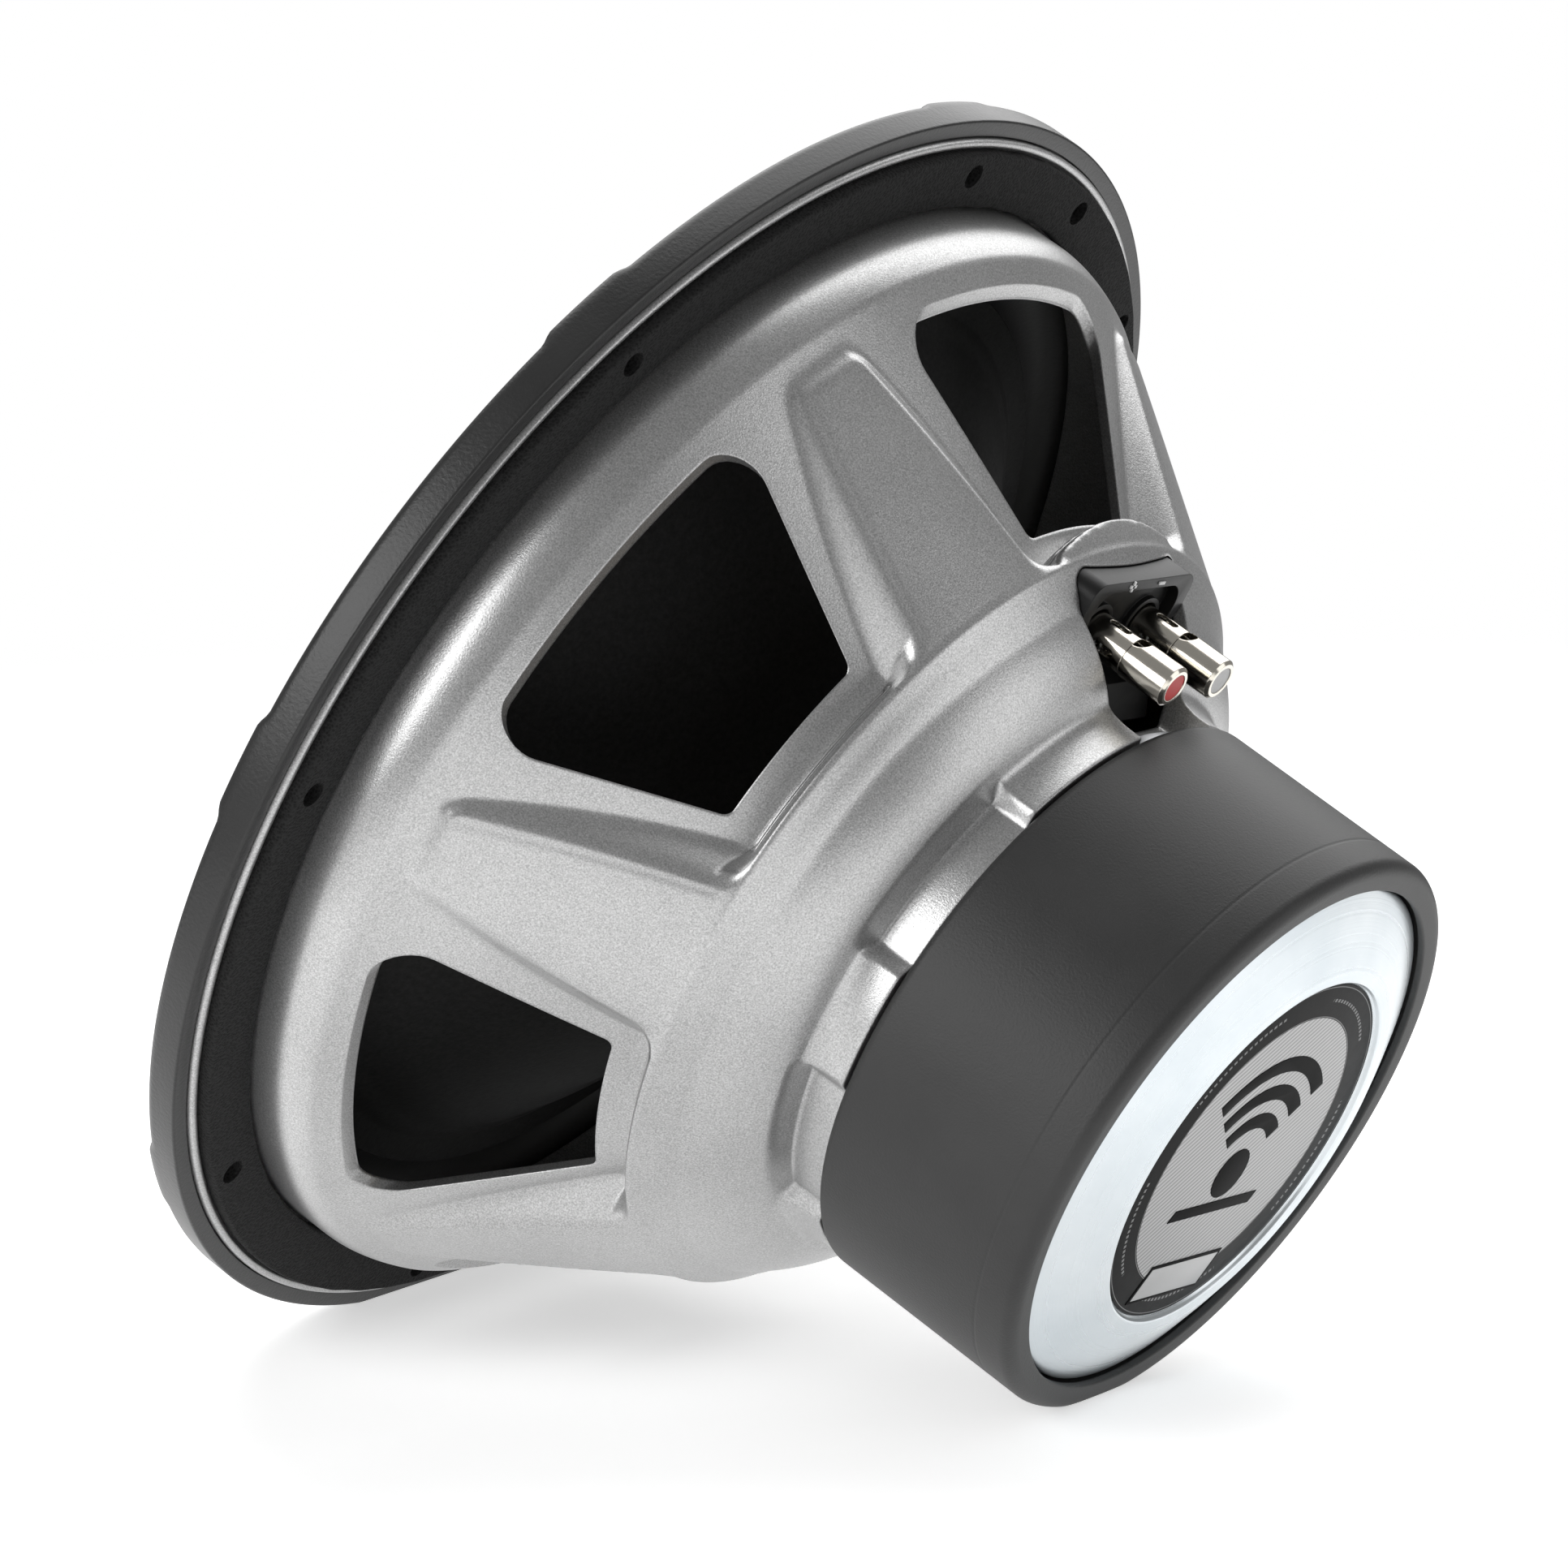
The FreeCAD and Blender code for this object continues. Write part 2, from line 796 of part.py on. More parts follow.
def make_basket():
    """Pressed and painted frame with six windows, six spokes and the terminal pad."""
    shell = basket_shell()
    facing = angles(number("window_count"))
    recess = recess_cutter().cut(window_floor())
    window = window_cutter()
    rib = rib_cutter()
    pocket = pocket_cutter()
    half_pitch = 180.0 / number("window_count")
    recesses = [spun(recess, angle) for angle in facing]
    shell = shell.cut(recesses + [rim_cutter()])
    shell = shell.fuse(spun(terminal_pad(), facing[0]))
    cutters = [spun(window, angle) for angle in facing]
    cutters += [spun(rib, angle + half_pitch) for angle in facing]
    cutters += [spun(pocket, angle) for angle in facing[1:]]
    shell = shell.cut(cutters)
    cavity = cylinder(number("ledge_radius"), number("ledge_top"), number("flange_front"))
    shell = shell.cut(cavity)
    shell = shell.cut(spun(block_seat(), facing[0]))
    shell = shell.cut(flange_holes(number("flange_back") - 8, number("flange_front") + 8))
    shell = shell.cut(screw_holes())
    function_part("basket", biggest(shell))


def biggest(shape):
    """The largest solid, without slivers that the cuts leave behind."""
    return max(shape.Solids, key=lambda solid: solid.Volume)


def flange_holes(low, high):
    """Cutters for the mounting screws and the one keying hole between two of them."""
    circle = number("hole_circle")
    radius = number("hole_radius")
    turns = angles(number("hole_count"))
    holes = [spun(cylinder(radius, low, high, circle), angle) for angle in turns]
    key_hole = cylinder(radius, low, high, number("key_hole_circle"))
    return holes + [spun(key_hole, turns[0] + number("key_hole_offset"))]


def screw_holes():
    """Clearance holes in the base for the screws into the top plate."""
    low = number("top_plate_top") - 1.0
    high = low + number("wall") + 2.0
    hole = cylinder(number("screw_radius") + 0.3, low, high, number("screw_circle"))
    return [spun(hole, angle) for angle in angles(number("screw_count"))]


def make_screws():
    """Six pan head screws from the base of the basket into the top plate."""
    seat = number("top_plate_top") + number("wall")
    tip = number("top_plate_top") - number("screw_depth") + 0.5
    circle = number("screw_circle")
    shank = cylinder(number("screw_radius"), tip, seat, circle)
    head_top = seat + number("screw_head_height")
    head = cylinder(number("screw_head_radius"), seat, head_top, circle)
    drive = cylinder(number("screw_radius") * 0.7, head_top - 1.6, head_top + 1, circle)
    screw = shank.fuse(head).cut(drive).removeSplitter()
    copies = [spun(screw, angle) for angle in angles(number("screw_count"))]
    function_part("basket_screws", Part.makeCompound(copies))


# ---------------------------------------------------------------- flange trim


def make_gasket():
    """Foam ring between the flange and the baffle."""
    body = turned_body(
        "mounting_gasket",
        rectangle(
            size("gasket_bore"),
            size("gasket_radius"),
            size("flange_back") - size("gasket_thickness"),
            size("flange_back"),
        ),
    )
    drill_circle(
        body,
        "ScrewHoles",
        size("hole_count"),
        size("hole_circle"),
        size("hole_radius") + 0.25,
        size("flange_back") - size("gasket_thickness"),
        size("flange_back"),
    )
    turn = math.radians(number("key_hole_offset"))
    sketch = body.newObject("Sketcher::SketchObject", "KeyHoleCircle")
    sketch.AttachmentSupport = [(origin_plane(body, "XY_Plane"), "")]
    sketch.MapMode = "FlatFace"
    sketch.setExpression("AttachmentOffset.Base.z", "Sizes.flange_back")
    reach = number("key_hole_circle")
    centre = Vector(reach * math.sin(turn), -reach * math.cos(turn), 0)
    radius = number("hole_radius") + 0.25
    sketch.addGeometry(Part.Circle(centre, Vector(0, 0, 1), radius), False)
    across = sketch.addConstraint(Sketcher.Constraint("DistanceX", -1, 1, 0, 3, centre.x))
    sketch.setExpression(f"Constraints[{across}]", "Sizes.key_hole_circle * sin(Sizes.key_hole_offset * 1deg)")
    down = sketch.addConstraint(Sketcher.Constraint("DistanceY", 0, 3, -1, 1, -centre.y))
    sketch.setExpression(f"Constraints[{down}]", "Sizes.key_hole_circle * cos(Sizes.key_hole_offset * 1deg)")
    rim = sketch.addConstraint(Sketcher.Constraint("Radius", 0, radius))
    sketch.setExpression(f"Constraints[{rim}]", "Sizes.hole_radius + 0.25")
    DOC.recompute()
    before = body.Shape.Volume
    pocket = body.newObject("PartDesign::Pocket", "KeyHole")
    pocket.Profile = sketch
    pocket.Length = number("gasket_thickness")
    pocket.setExpression("Length", "Sizes.gasket_thickness")
    DOC.recompute()
    if body.Shape.Volume > before - 1:
        raise RuntimeError("the key hole cut nothing from the gasket")


def make_trim_ring():
    """Rubber trim over the flange, with a raised pad round every mounting screw."""
    top = number("trim_top")
    outer = number("trim_radius")
    bore = number("trim_bore")
    seat = number("flange_front")
    foot_top = seat + number("surround_foot")
    foot_edge = number("surround_edge_radius") + 0.2
    skirt = number("trim_seat_radius")
    ring = turned(
        [
            (outer, number("flange_back")),
            (outer, top - 2.2),
            (outer - 0.7, top - 0.7),
            (outer - 2.2, top),
            (bore + 4.0, top),
            (bore, top - 3.0),
            (bore, foot_top),
            (foot_edge, foot_top),
            (foot_edge, seat),
            (skirt, seat),
            (skirt, number("flange_back")),
        ]
    )
    pad_top = top + number("trim_pad_height")
    pad = cylinder(number("trim_pad_radius"), top - 1.0, pad_top, number("trim_pad_circle"))
    pads = [spun(pad, angle) for angle in angles(number("hole_count"))]
    ring = ring.fuse(pads).cut(flange_holes(seat - 3, pad_top + 1)[:-1])
    head = cylinder(5.2, top - 1.6, pad_top + 1, number("hole_circle"))
    ring = ring.cut([spun(head, angle) for angle in angles(number("hole_count"))])
    function_part("trim_ring", ring.removeSplitter())


# ---------------------------------------------------------------- moving assembly


def make_coil():
    """Former, winding and the collar that carries the lead ends."""
    inner = size("former_radius")
    outer = inner + size("former_wall")
    turned_body("coil_former", rectangle(inner, outer, size("coil_base"), size("former_top")))
    turned_body(
        "voice_coil",
        rectangle(outer, outer + size("coil_wall"), size("coil_base"), size("coil_top")),
    )
    turned_body(
        "lead_collar",
        rectangle(outer + 0.05, outer + size("collar_wall"), size("collar_base"), size("collar_top")),
    )


def make_cone():
    """Stiff cone with a flat foot for the surround."""
    neck = size("former_radius") + size("former_wall")
    wall = size("cone_wall")
    low = size("cone_neck_height")
    edge = size("cone_edge_radius")
    foot = size("cone_foot_radius")
    back = size("cone_edge_back")
    front = size("flange_front")
    turned_body(
        "cone",
        [
            (neck, low),
            (neck + wall, low),
            (edge, back),
            (foot, back),
            (foot, front),
            (edge - wall / 2, front),
            (neck, low + wall * 2),
        ],
    )


def cone_height(radius):
    """Height of the cone's front face at a radius."""
    neck = number("former_radius") + number("former_wall")
    low = number("cone_neck_height") + number("cone_wall") * 2
    edge = number("cone_edge_radius") - number("cone_wall") / 2
    return low + (radius - neck) * (number("flange_front") - low) / (edge - neck)


def make_dust_cap():
    """Shallow dome over the voice coil, seated on the cone."""
    radius = number("dust_cap_radius")
    rise = number("dust_cap_height")
    wall = number("dust_cap_wall")
    seat = cone_height(radius)
    sphere = (radius * radius + rise * rise) / (2 * rise)
    centre = Vector(0, 0, seat + rise - sphere)
    dome = Part.makeSphere(sphere, centre).cut(Part.makeSphere(sphere - wall, centre))
    function_part("dust_cap", dome.common(cylinder(radius, seat, seat + rise + 1)))


def make_surround():
    """Half roll between the cone's foot and the flange, as one closed solid."""
    base = number("flange_front")
    foot = number("surround_foot")
    centre = number("surround_roll_centre")
    roll = number("surround_roll_radius")
    wall = number("surround_wall")
    inner = number("cone_edge_radius")
    outer = number("surround_edge_radius")
    left, right = centre - roll, centre + roll
    grow = roll + wall
    lift = math.sqrt(grow * grow - foot * foot) if grow > foot else grow
    pieces = [
        ((inner, base), (left, base)),
        ((left, base), (right, base), -roll),
        ((right, base), (outer, base)),
        ((outer, base), (outer, base + foot)),
        ((outer, base + foot), (centre + lift, base + foot)),
    ]
    top = Part.Arc(
        Vector(centre + lift, 0, base + foot),
        Vector(centre, 0, base + grow),
        Vector(centre - lift, 0, base + foot),
    ).toShape()
    tail = [((centre - lift, base + foot), (inner, base + foot)), ((inner, base + foot), (inner, base))]
    edges = [section_edge(piece) for piece in pieces + tail]
    face = Part.Face(Part.Wire(Part.__sortEdges__(edges + [top])))
    function_part("surround", face.revolve(Vector(0, 0, 0), Vector(0, 0, 1), 360))


def make_spider():
    """Corrugated cloth disc that centres the voice coil."""
    wall = number("spider_wall")
    base = number("ledge_top")
    inner = number("former_radius") + number("former_wall")
    start = number("spider_inner")
    end = number("ledge_radius") + 1.5
    edge = number("ledge_wall_radius") - 0.4
    waves = int(number("spider_waves"))
    height = number("spider_wave_height")
    steps = waves * 2
    lower = [(inner, base), (start, base)]
    for step in range(1, steps):
        radius = start + (end - start) * step / steps
        lower.append((radius, base + (height if step % 2 else 0)))
    lower += [(end, base), (edge, base)]
    upper = [(radius, level + wall) for radius, level in reversed(lower)]
    function_part("spider", turned(lower + upper))


# ---------------------------------------------------------------- terminals


SIDES = (("positive", -1), ("negative", 1))


def make_terminal_block():
    """Moulded block with an arched rim, two bores and a foot down the neck."""
    prism = upright_prism(block_outline(), 60.0, 100.0)
    block = prism.common(block_side())
    rim = number("block_rim")
    well_corners = [
        (Vector(number("block_outer") - rim, -number("block_half_width") + rim, 0), 5.5),
        (Vector(number("block_outer") - rim, number("block_half_width") - rim, 0), 5.5),
        (Vector(number("block_bend") - 6.0, number("block_half_width") - rim - 4.5, 0), 1.0),
        (Vector(number("block_bend") - 6.0, -number("block_half_width") + rim + 4.5, 0), 1.0),
    ]
    well = upright_prism(well_corners, number("block_rear") - 20, number("well_floor"))
    block = block.cut(well)
    plug = Part.makeBox(
        number("plug_outer") - number("plug_inner"),
        2 * number("plug_half_width"),
        number("plug_top") - number("well_floor"),
        Vector(number("plug_inner"), -number("plug_half_width"), number("well_floor")),
    )
    block = block.fuse(plug)
    distance = number("terminal_distance")
    for _, side in SIDES:
        y = side * number("terminal_spread")
        block = block.cut(
            cylinder(number("bore_radius"), number("well_floor") - 4, number("bore_floor"), distance, y)
        )
        block = block.cut(
            cylinder(
                number("post_stem_radius") + 0.05, number("bore_floor") - 1, number("plug_top") + 1, distance, y
            )
        )
        block = block.fuse(polarity_mark(side))
    block = spun(block.removeSplitter(), -90)
    function_part("terminal_block", block)


def polarity_mark(side):
    """Raised + or - on the rim of the block, facing +X."""
    y = side * number("terminal_spread") * 0.62
    x = number("block_outer") - number("block_rim") / 2 - 0.9
    rear = number("block_rear")
    bar = Part.makeBox(0.8, 3.0, 0.4 + 0.3, Vector(x - 0.4, y - 1.5, rear - 0.4))
    if side > 0:
        return bar
    return bar.fuse(Part.makeBox(2.0, 0.8, 0.4 + 0.3, Vector(x - 1.0, y - 0.4, rear - 0.4)))


def terminal_spot(shape, side):
    """Place a shape that is modelled on the Z axis at one terminal."""
    copy = shape.copy()
    copy.translate(Vector(number("terminal_distance"), side * number("terminal_spread"), 0))
    return spun(copy, -90)


def sleeve_shape():
    """Slotted sleeve with an inner shoulder for the spring."""
    radius = number("sleeve_radius")
    bore = number("sleeve_bore")
    seam = number("cap_seam")
    top = number("sleeve_top")
    shoulder = number("post_head_top") + 0.2
    stem = number("post_stem_radius") + 0.4
    tube = cylinder(radius, seam, top).cut(cylinder(bore, seam - 1, top + 1))
    ring = cylinder(radius - 0.2, shoulder, shoulder + 1.2).cut(cylinder(stem, shoulder - 1, top))
    tube = tube.fuse(ring)
    low = seam + 3.4
    slot = Part.makeBox(12.0, 2.0, 3.6, Vector(0, -1.0, low))
    slot = slot.fuse(cylinder_along_x(1.0, low)).fuse(cylinder_along_x(1.0, low + 3.6))
    return tube.cut([spun(slot, angle) for angle in (-10, 80, 170, 260)]).removeSplitter()


def cylinder_along_x(radius, height):
    """A short cylinder along +X at a height, used as a cutter."""
    return Part.makeCylinder(radius, 12.0, Vector(0, 0, height), Vector(1, 0, 0))


def cap_shape():
    """Hollow push cap with a half round wire notch at the seam."""
    radius = number("cap_radius")
    rear = number("cap_rear")
    seam = number("cap_seam")
    chamfer = number("cap_chamfer")
    shell = turned(
        [
            (0, rear + number("insert_depth")),
            (number("insert_radius"), rear + number("insert_depth")),
            (number("insert_radius"), rear),
            (radius - chamfer, rear),
            (radius, rear + chamfer),
            (radius, seam - 0.2),
            (radius - 0.2, seam),
            (number("sleeve_bore"), seam),
            (number("sleeve_bore"), number("cap_floor")),
            (0, number("cap_floor")),
        ]
    )
    notch = cylinder_along_x(number("notch_radius"), seam - 0.2)
    return shell.cut(spun(notch, -8))


def post_shape():
    """Fixed post inside the shell, with a cross hole for the wire and a threaded stem."""
    head = cylinder(number("post_head_radius"), number("post_head_rear"), number("post_head_top"))
    stem = cylinder(number("post_stem_radius"), number("post_head_top") - 1, number("post_top"))
    hole = Part.makeCylinder(
        number("wire_hole_radius"), 12.0, Vector(-6, 0, number("cap_seam") - 0.6), Vector(1, 0, 0)
    )
    return head.fuse(stem).cut(hole).removeSplitter()


def spring_shape():
    """Round wire coil between the sleeve's shoulder and the floor of the bore."""
    wire = number("spring_wire")
    low = number("post_head_top") + 1.4 + wire / 2 + 0.1
    high = number("bore_floor") - wire / 2 - 0.1
    turns = number("spring_turns")
    pitch = (high - low) / turns
    radius = number("spring_radius")
    helix = Part.makeHelix(pitch, high - low, radius)
    helix.translate(Vector(0, 0, low))
    start = helix.Edges[0].valueAt(helix.Edges[0].FirstParameter)
    along = helix.Edges[0].tangentAt(helix.Edges[0].FirstParameter)
    profile = Part.Wire(Part.makeCircle(wire / 2, start, along))
    return Part.Wire(helix.Edges).makePipeShell([profile], True, True)


def lug_shape():
    """Flat brass lug on the post, reaching in towards the voice coil."""
    low = number("plug_top")
    high = low + number("lug_thickness")
    plate = Part.makeBox(15.0, 7.0, number("lug_thickness"), Vector(-15.0, -3.5, low))
    plate = plate.fuse(cylinder(3.5, low, high))
    hole = cylinder(number("post_stem_radius") + 0.05, low - 1, high + 1)
    eye = cylinder(number("lead_radius") + 0.05, low - 1, high + 1, -12.4)
    return plate.cut([hole, eye]).removeSplitter()


def nut_shape():
    """Hexagon nut that holds the lug on the post."""
    low = number("plug_top") + number("lug_thickness")
    across = number("nut_flat") / math.cos(math.radians(30)) / 2 + 0.6
    corners = [
        Vector(across * math.cos(math.radians(60 * i)), across * math.sin(math.radians(60 * i)), low)
        for i in range(6)
    ]
    nut = face_of(corners).extrude(Vector(0, 0, number("nut_height")))
    return nut.cut(cylinder(number("post_stem_radius") + 0.02, low - 1, low + 5))


def lead_path(side):
    """Corners of one tinsel lead, from its lug to the collar on the former."""
    spread = number("terminal_spread")
    low = number("plug_top") - 0.4
    lug = number("terminal_distance") - 12.4
    return [
        Vector(lug, side * spread, low),
        Vector(lug, side * spread, low - 7.0),
        Vector(lug - 12.0, side * (spread + 1.0), low - 13.0),
        Vector(lug - 23.0, side * spread, low - 9.0),
        Vector(lug - 32.3, side * (spread - 1.6), low - 1.2),
    ]


def make_lead(name, side):
    """Tinsel lead as a round tube of straight runs joined by tangent arcs."""
    corners = lead_path(side)
    edges = []
    start = corners[0]
    for index in range(1, len(corners) - 1):
        before = corners[index - 1] - corners[index]
        after = corners[index + 1] - corners[index]
        half = before.getAngle(after) / 2
        reach = 0.45 * min(before.Length, after.Length)
        radius = reach * math.tan(half)
        before.normalize()
        after.normalize()
        first = corners[index] + before * reach
        last = corners[index] + after * reach
        centre = corners[index] + (before + after).normalize() * (radius / math.sin(half))
        middle = centre + (corners[index] - centre).normalize() * radius
        edges.append(Part.LineSegment(start, first).toShape())
        edges.append(Part.Arc(first, middle, last).toShape())
        start = last
        print(f"{name} arc radius {radius:.1f}")
    edges.append(Part.LineSegment(start, corners[-1]).toShape())
    path = Part.Wire(edges)
    radius = number("lead_radius")
    along = corners[1] - corners[0]
    profile = Part.Wire(Part.makeCircle(radius, corners[0], along))
    tube = path.makePipeShell([profile], True, True)
    expected = path.Length * math.pi * radius * radius
    print(f"{name} length {path.Length:.1f} volume {tube.Volume:.1f} expected {expected:.1f}")
    function_part(name, spun(tube, -90))


def make_terminals():
    """Posts, springs, sliding shells, inserts, lugs, nuts and leads of both terminals."""
    insert = cylinder(
        number("insert_radius") - 0.02,
        number("cap_rear") + 0.15,
        number("cap_rear") + number("insert_depth"),
    )
    shapes = {
        "terminal_post": post_shape(),
        "terminal_sleeve": sleeve_shape(),
        "push_cap": cap_shape(),
        "cap_insert": insert,
        "terminal_spring": spring_shape(),
        "terminal_lug": lug_shape(),
    }
    for word, side in SIDES:
        for name, shape in shapes.items():
            function_part(f"{name}_{word}", terminal_spot(shape, side))
        make_lead(f"tinsel_lead_{word}", side)
    nuts = [terminal_spot(nut_shape(), side) for _, side in SIDES]
    function_part("terminal_nuts", Part.makeCompound(nuts))


# ---------------------------------------------------------------- build and export


def sub_parts():
    """Every object that becomes a file."""
    kinds = ("PartDesign::Body", "Part::Feature")
    return [
        item
        for item in DOC.Objects
        if item.TypeId in kinds and not item.getParentGeoFeatureGroup()
    ]


def check_document():
    """Stop if any object failed to compute or any sub-part has no valid shape."""
    for item in DOC.Objects:
        if "Invalid" in item.State or "Error" in item.State:
            raise RuntimeError(f"{item.Label} failed: {item.State}")
    for item in sub_parts():
        if item.Shape.isNull() or not item.Shape.isValid():
            raise RuntimeError(f"{item.Label} has no valid shape")
        if not item.Shape.Solids:
            raise RuntimeError(f"{item.Label} has no solid")


def export_parts():
    """Write one STEP file for each sub-part."""
    os.makedirs("parts", exist_ok=True)
    for item in sub_parts():
        item.Shape.exportStep(os.path.join("parts", f"{item.Label}.step"))
        box = item.Shape.optimalBoundingBox()
        print(
            f"{item.Label}: {len(item.Shape.Solids)} solid(s), {item.Shape.Volume / 1000:.2f} cm3,"
            f" x {box.XMin:.1f}..{box.XMax:.1f} y {box.YMin:.1f}..{box.YMax:.1f}"
            f" z {box.ZMin:.1f}..{box.ZMax:.1f}"
        )


fill_sheet()
make_yoke()
make_motor()
make_boot()
make_basket()
make_screws()
make_gasket()
make_trim_ring()
make_coil()
make_cone()
make_dust_cap()
make_surround()
make_spider()
make_terminal_block()
make_terminals()
DOC.recompute()
check_document()
export_parts()
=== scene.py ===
import math
import random

import bmesh
import bpy
import numpy as np
from mathutils import Matrix, Vector


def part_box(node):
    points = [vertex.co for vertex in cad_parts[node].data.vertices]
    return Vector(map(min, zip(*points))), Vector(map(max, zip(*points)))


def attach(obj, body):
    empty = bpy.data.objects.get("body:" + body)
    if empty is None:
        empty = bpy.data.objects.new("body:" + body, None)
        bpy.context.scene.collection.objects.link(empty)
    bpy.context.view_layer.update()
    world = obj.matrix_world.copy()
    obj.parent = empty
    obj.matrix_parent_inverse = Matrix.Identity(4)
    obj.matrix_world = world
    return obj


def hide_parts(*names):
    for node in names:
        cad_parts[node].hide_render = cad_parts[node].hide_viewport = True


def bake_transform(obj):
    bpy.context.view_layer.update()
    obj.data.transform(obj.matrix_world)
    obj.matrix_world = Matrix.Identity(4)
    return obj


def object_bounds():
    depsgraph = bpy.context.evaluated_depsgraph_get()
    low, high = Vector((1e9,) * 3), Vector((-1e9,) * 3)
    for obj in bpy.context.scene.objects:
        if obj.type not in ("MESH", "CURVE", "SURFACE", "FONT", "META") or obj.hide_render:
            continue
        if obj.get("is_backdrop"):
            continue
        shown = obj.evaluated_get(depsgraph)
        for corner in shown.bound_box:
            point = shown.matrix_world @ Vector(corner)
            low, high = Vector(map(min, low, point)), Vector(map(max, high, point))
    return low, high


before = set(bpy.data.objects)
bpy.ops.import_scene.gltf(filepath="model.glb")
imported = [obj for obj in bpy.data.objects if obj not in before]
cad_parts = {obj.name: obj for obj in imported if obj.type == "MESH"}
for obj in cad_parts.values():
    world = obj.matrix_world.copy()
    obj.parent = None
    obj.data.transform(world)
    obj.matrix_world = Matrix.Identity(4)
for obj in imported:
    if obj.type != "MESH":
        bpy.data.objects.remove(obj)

CAD_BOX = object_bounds()
MM = 0.001
FRAME = "frame"
CONE = "moving_cone"
TERMINAL_AZIMUTH = -90.0
WINDOW_AZIMUTHS = [TERMINAL_AZIMUTH + 60.0 * k for k in range(6)]
SCREW_AZIMUTHS = [TERMINAL_AZIMUTH + 45.0 * k for k in range(8)]
KEY_HOLE_AZIMUTH = TERMINAL_AZIMUTH + 22.5
SCREW_CIRCLE_RADIUS = 148.0
SCREW_HOLE_RADIUS = 2.75
TERMINAL_DISTANCE = 82.0
TERMINAL_SPREAD = 10.4
BLOCK_FACE = 84.4
LABEL_LEVEL = 1.3


# ---------------------------------------------------------------- mesh helpers


def new_object(name, points, faces, material, edge_angle=38.0):
    """A smooth shaded mesh, points in millimetres, with edges sharper than edge_angle kept."""
    mesh = bpy.data.meshes.new(name)
    mesh.from_pydata([tuple(p) for p in np.asarray(points, float) * MM], [], faces)
    mesh.validate()
    finish_mesh(mesh, material, edge_angle)
    item = bpy.data.objects.new(name, mesh)
    bpy.context.scene.collection.objects.link(item)
    return item


def finish_mesh(mesh, material, edge_angle=38.0):
    """Outward normals, smooth shading with crisp edges, one material."""
    bm = bmesh.new()
    bm.from_mesh(mesh)
    bmesh.ops.recalc_face_normals(bm, faces=bm.faces)
    bm.to_mesh(mesh)
    bm.free()
    for polygon in mesh.polygons:
        polygon.use_smooth = True
    mesh.set_sharp_from_angle(angle=math.radians(edge_angle))
    mesh.materials.clear()
    mesh.materials.append(material)


def rounded(corners, steps=5):
    """Points of a closed outline through (x, y, radius) corners."""
    points = []
    count = len(corners)
    for index, (x, y, radius) in enumerate(corners):
        here = Vector((x, y))
        before = (Vector(corners[index - 1][:2]) - here)
        after = (Vector(corners[(index + 1) % count][:2]) - here)
        if radius <= 0:
            points.append((x, y))
            continue
        reach = min(before.length, after.length) * 0.49
        before.normalize()
        after.normalize()
        half = before.angle(after) / 2
        radius = min(radius, reach * math.tan(half))
        centre = here + (before + after).normalized() * (radius / math.sin(half))
        first = here + before * (radius / math.tan(half)) - centre
        last = here + after * (radius / math.tan(half)) - centre
        turn = first.angle_signed(last)
        for step in range(steps + 1):
            angle = -turn * step / steps
            arm = Vector(
                (
                    first.x * math.cos(angle) - first.y * math.sin(angle),
                    first.x * math.sin(angle) + first.y * math.cos(angle),
                )
            )
            points.append(tuple(centre + arm))
    return points


def grid_faces(columns, rows, close_rows=True):
    """Quads of a grid that closes round the columns, and round the rows for a solid ring."""
    faces = []
    last = rows if close_rows else rows - 1
    for c in range(columns):
        d = (c + 1) % columns
        for r in range(last):
            e = (r + 1) % rows
            faces.append((c * rows + r, d * rows + r, d * rows + e, c * rows + e))
    return faces


def lathe(name, corners, material, count=288, steps=5, edge_angle=38.0, shape=None):
    """A ring or disc turned from a closed (radius, height, rounding) outline, in millimetres."""
    section = np.array(rounded(corners, steps), float)
    turns = np.radians(np.arange(count) * 360.0 / count)
    points = []
    for turn in turns:
        radius, height = section[:, 0].copy(), section[:, 1].copy()
        if shape:
            radius, height = shape(math.degrees(turn), radius, height)
        points.append(np.stack([radius * math.cos(turn), radius * math.sin(turn), height], 1))
    points = np.concatenate(points)
    item = new_object(name, points, grid_faces(count, len(section)), material, edge_angle)
    weld(item, material, edge_angle)
    return item


def weld(item, material, edge_angle=38.0):
    """Join the points that meet on the axis."""
    bm = bmesh.new()
    bm.from_mesh(item.data)
    bmesh.ops.remove_doubles(bm, verts=bm.verts, dist=1e-6)
    bmesh.ops.dissolve_degenerate(bm, edges=bm.edges, dist=1e-7)
    bm.to_mesh(item.data)
    bm.free()
    finish_mesh(item.data, material, edge_angle)


def prism(name, outline, low, high, material, bevel=0.0):
    """An upright prism over a closed outline, in millimetres."""
    count = len(outline)
    points = [(x, y, low) for x, y in outline] + [(x, y, high) for x, y in outline]
    faces = [tuple(range(count)), tuple(range(count, 2 * count))]
    faces += [(i, (i + 1) % count, count + (i + 1) % count, count + i) for i in range(count)]
    item = new_object(name, points, faces, material)
    if bevel:
        modifier = item.modifiers.new("edge", "BEVEL")
        modifier.width = bevel * MM
        modifier.segments = 3
        modifier.limit_method = "ANGLE"
        modifier.angle_limit = math.radians(50)
        apply_modifiers(item, material)
    return item


def apply_modifiers(item, material, edge_angle=38.0):
    """Bake the modifiers into the mesh."""
    graph = bpy.context.evaluated_depsgraph_get()
    mesh = bpy.data.meshes.new_from_object(item.evaluated_get(graph))
    item.modifiers.clear()
    item.data = mesh
    finish_mesh(mesh, material, edge_angle)


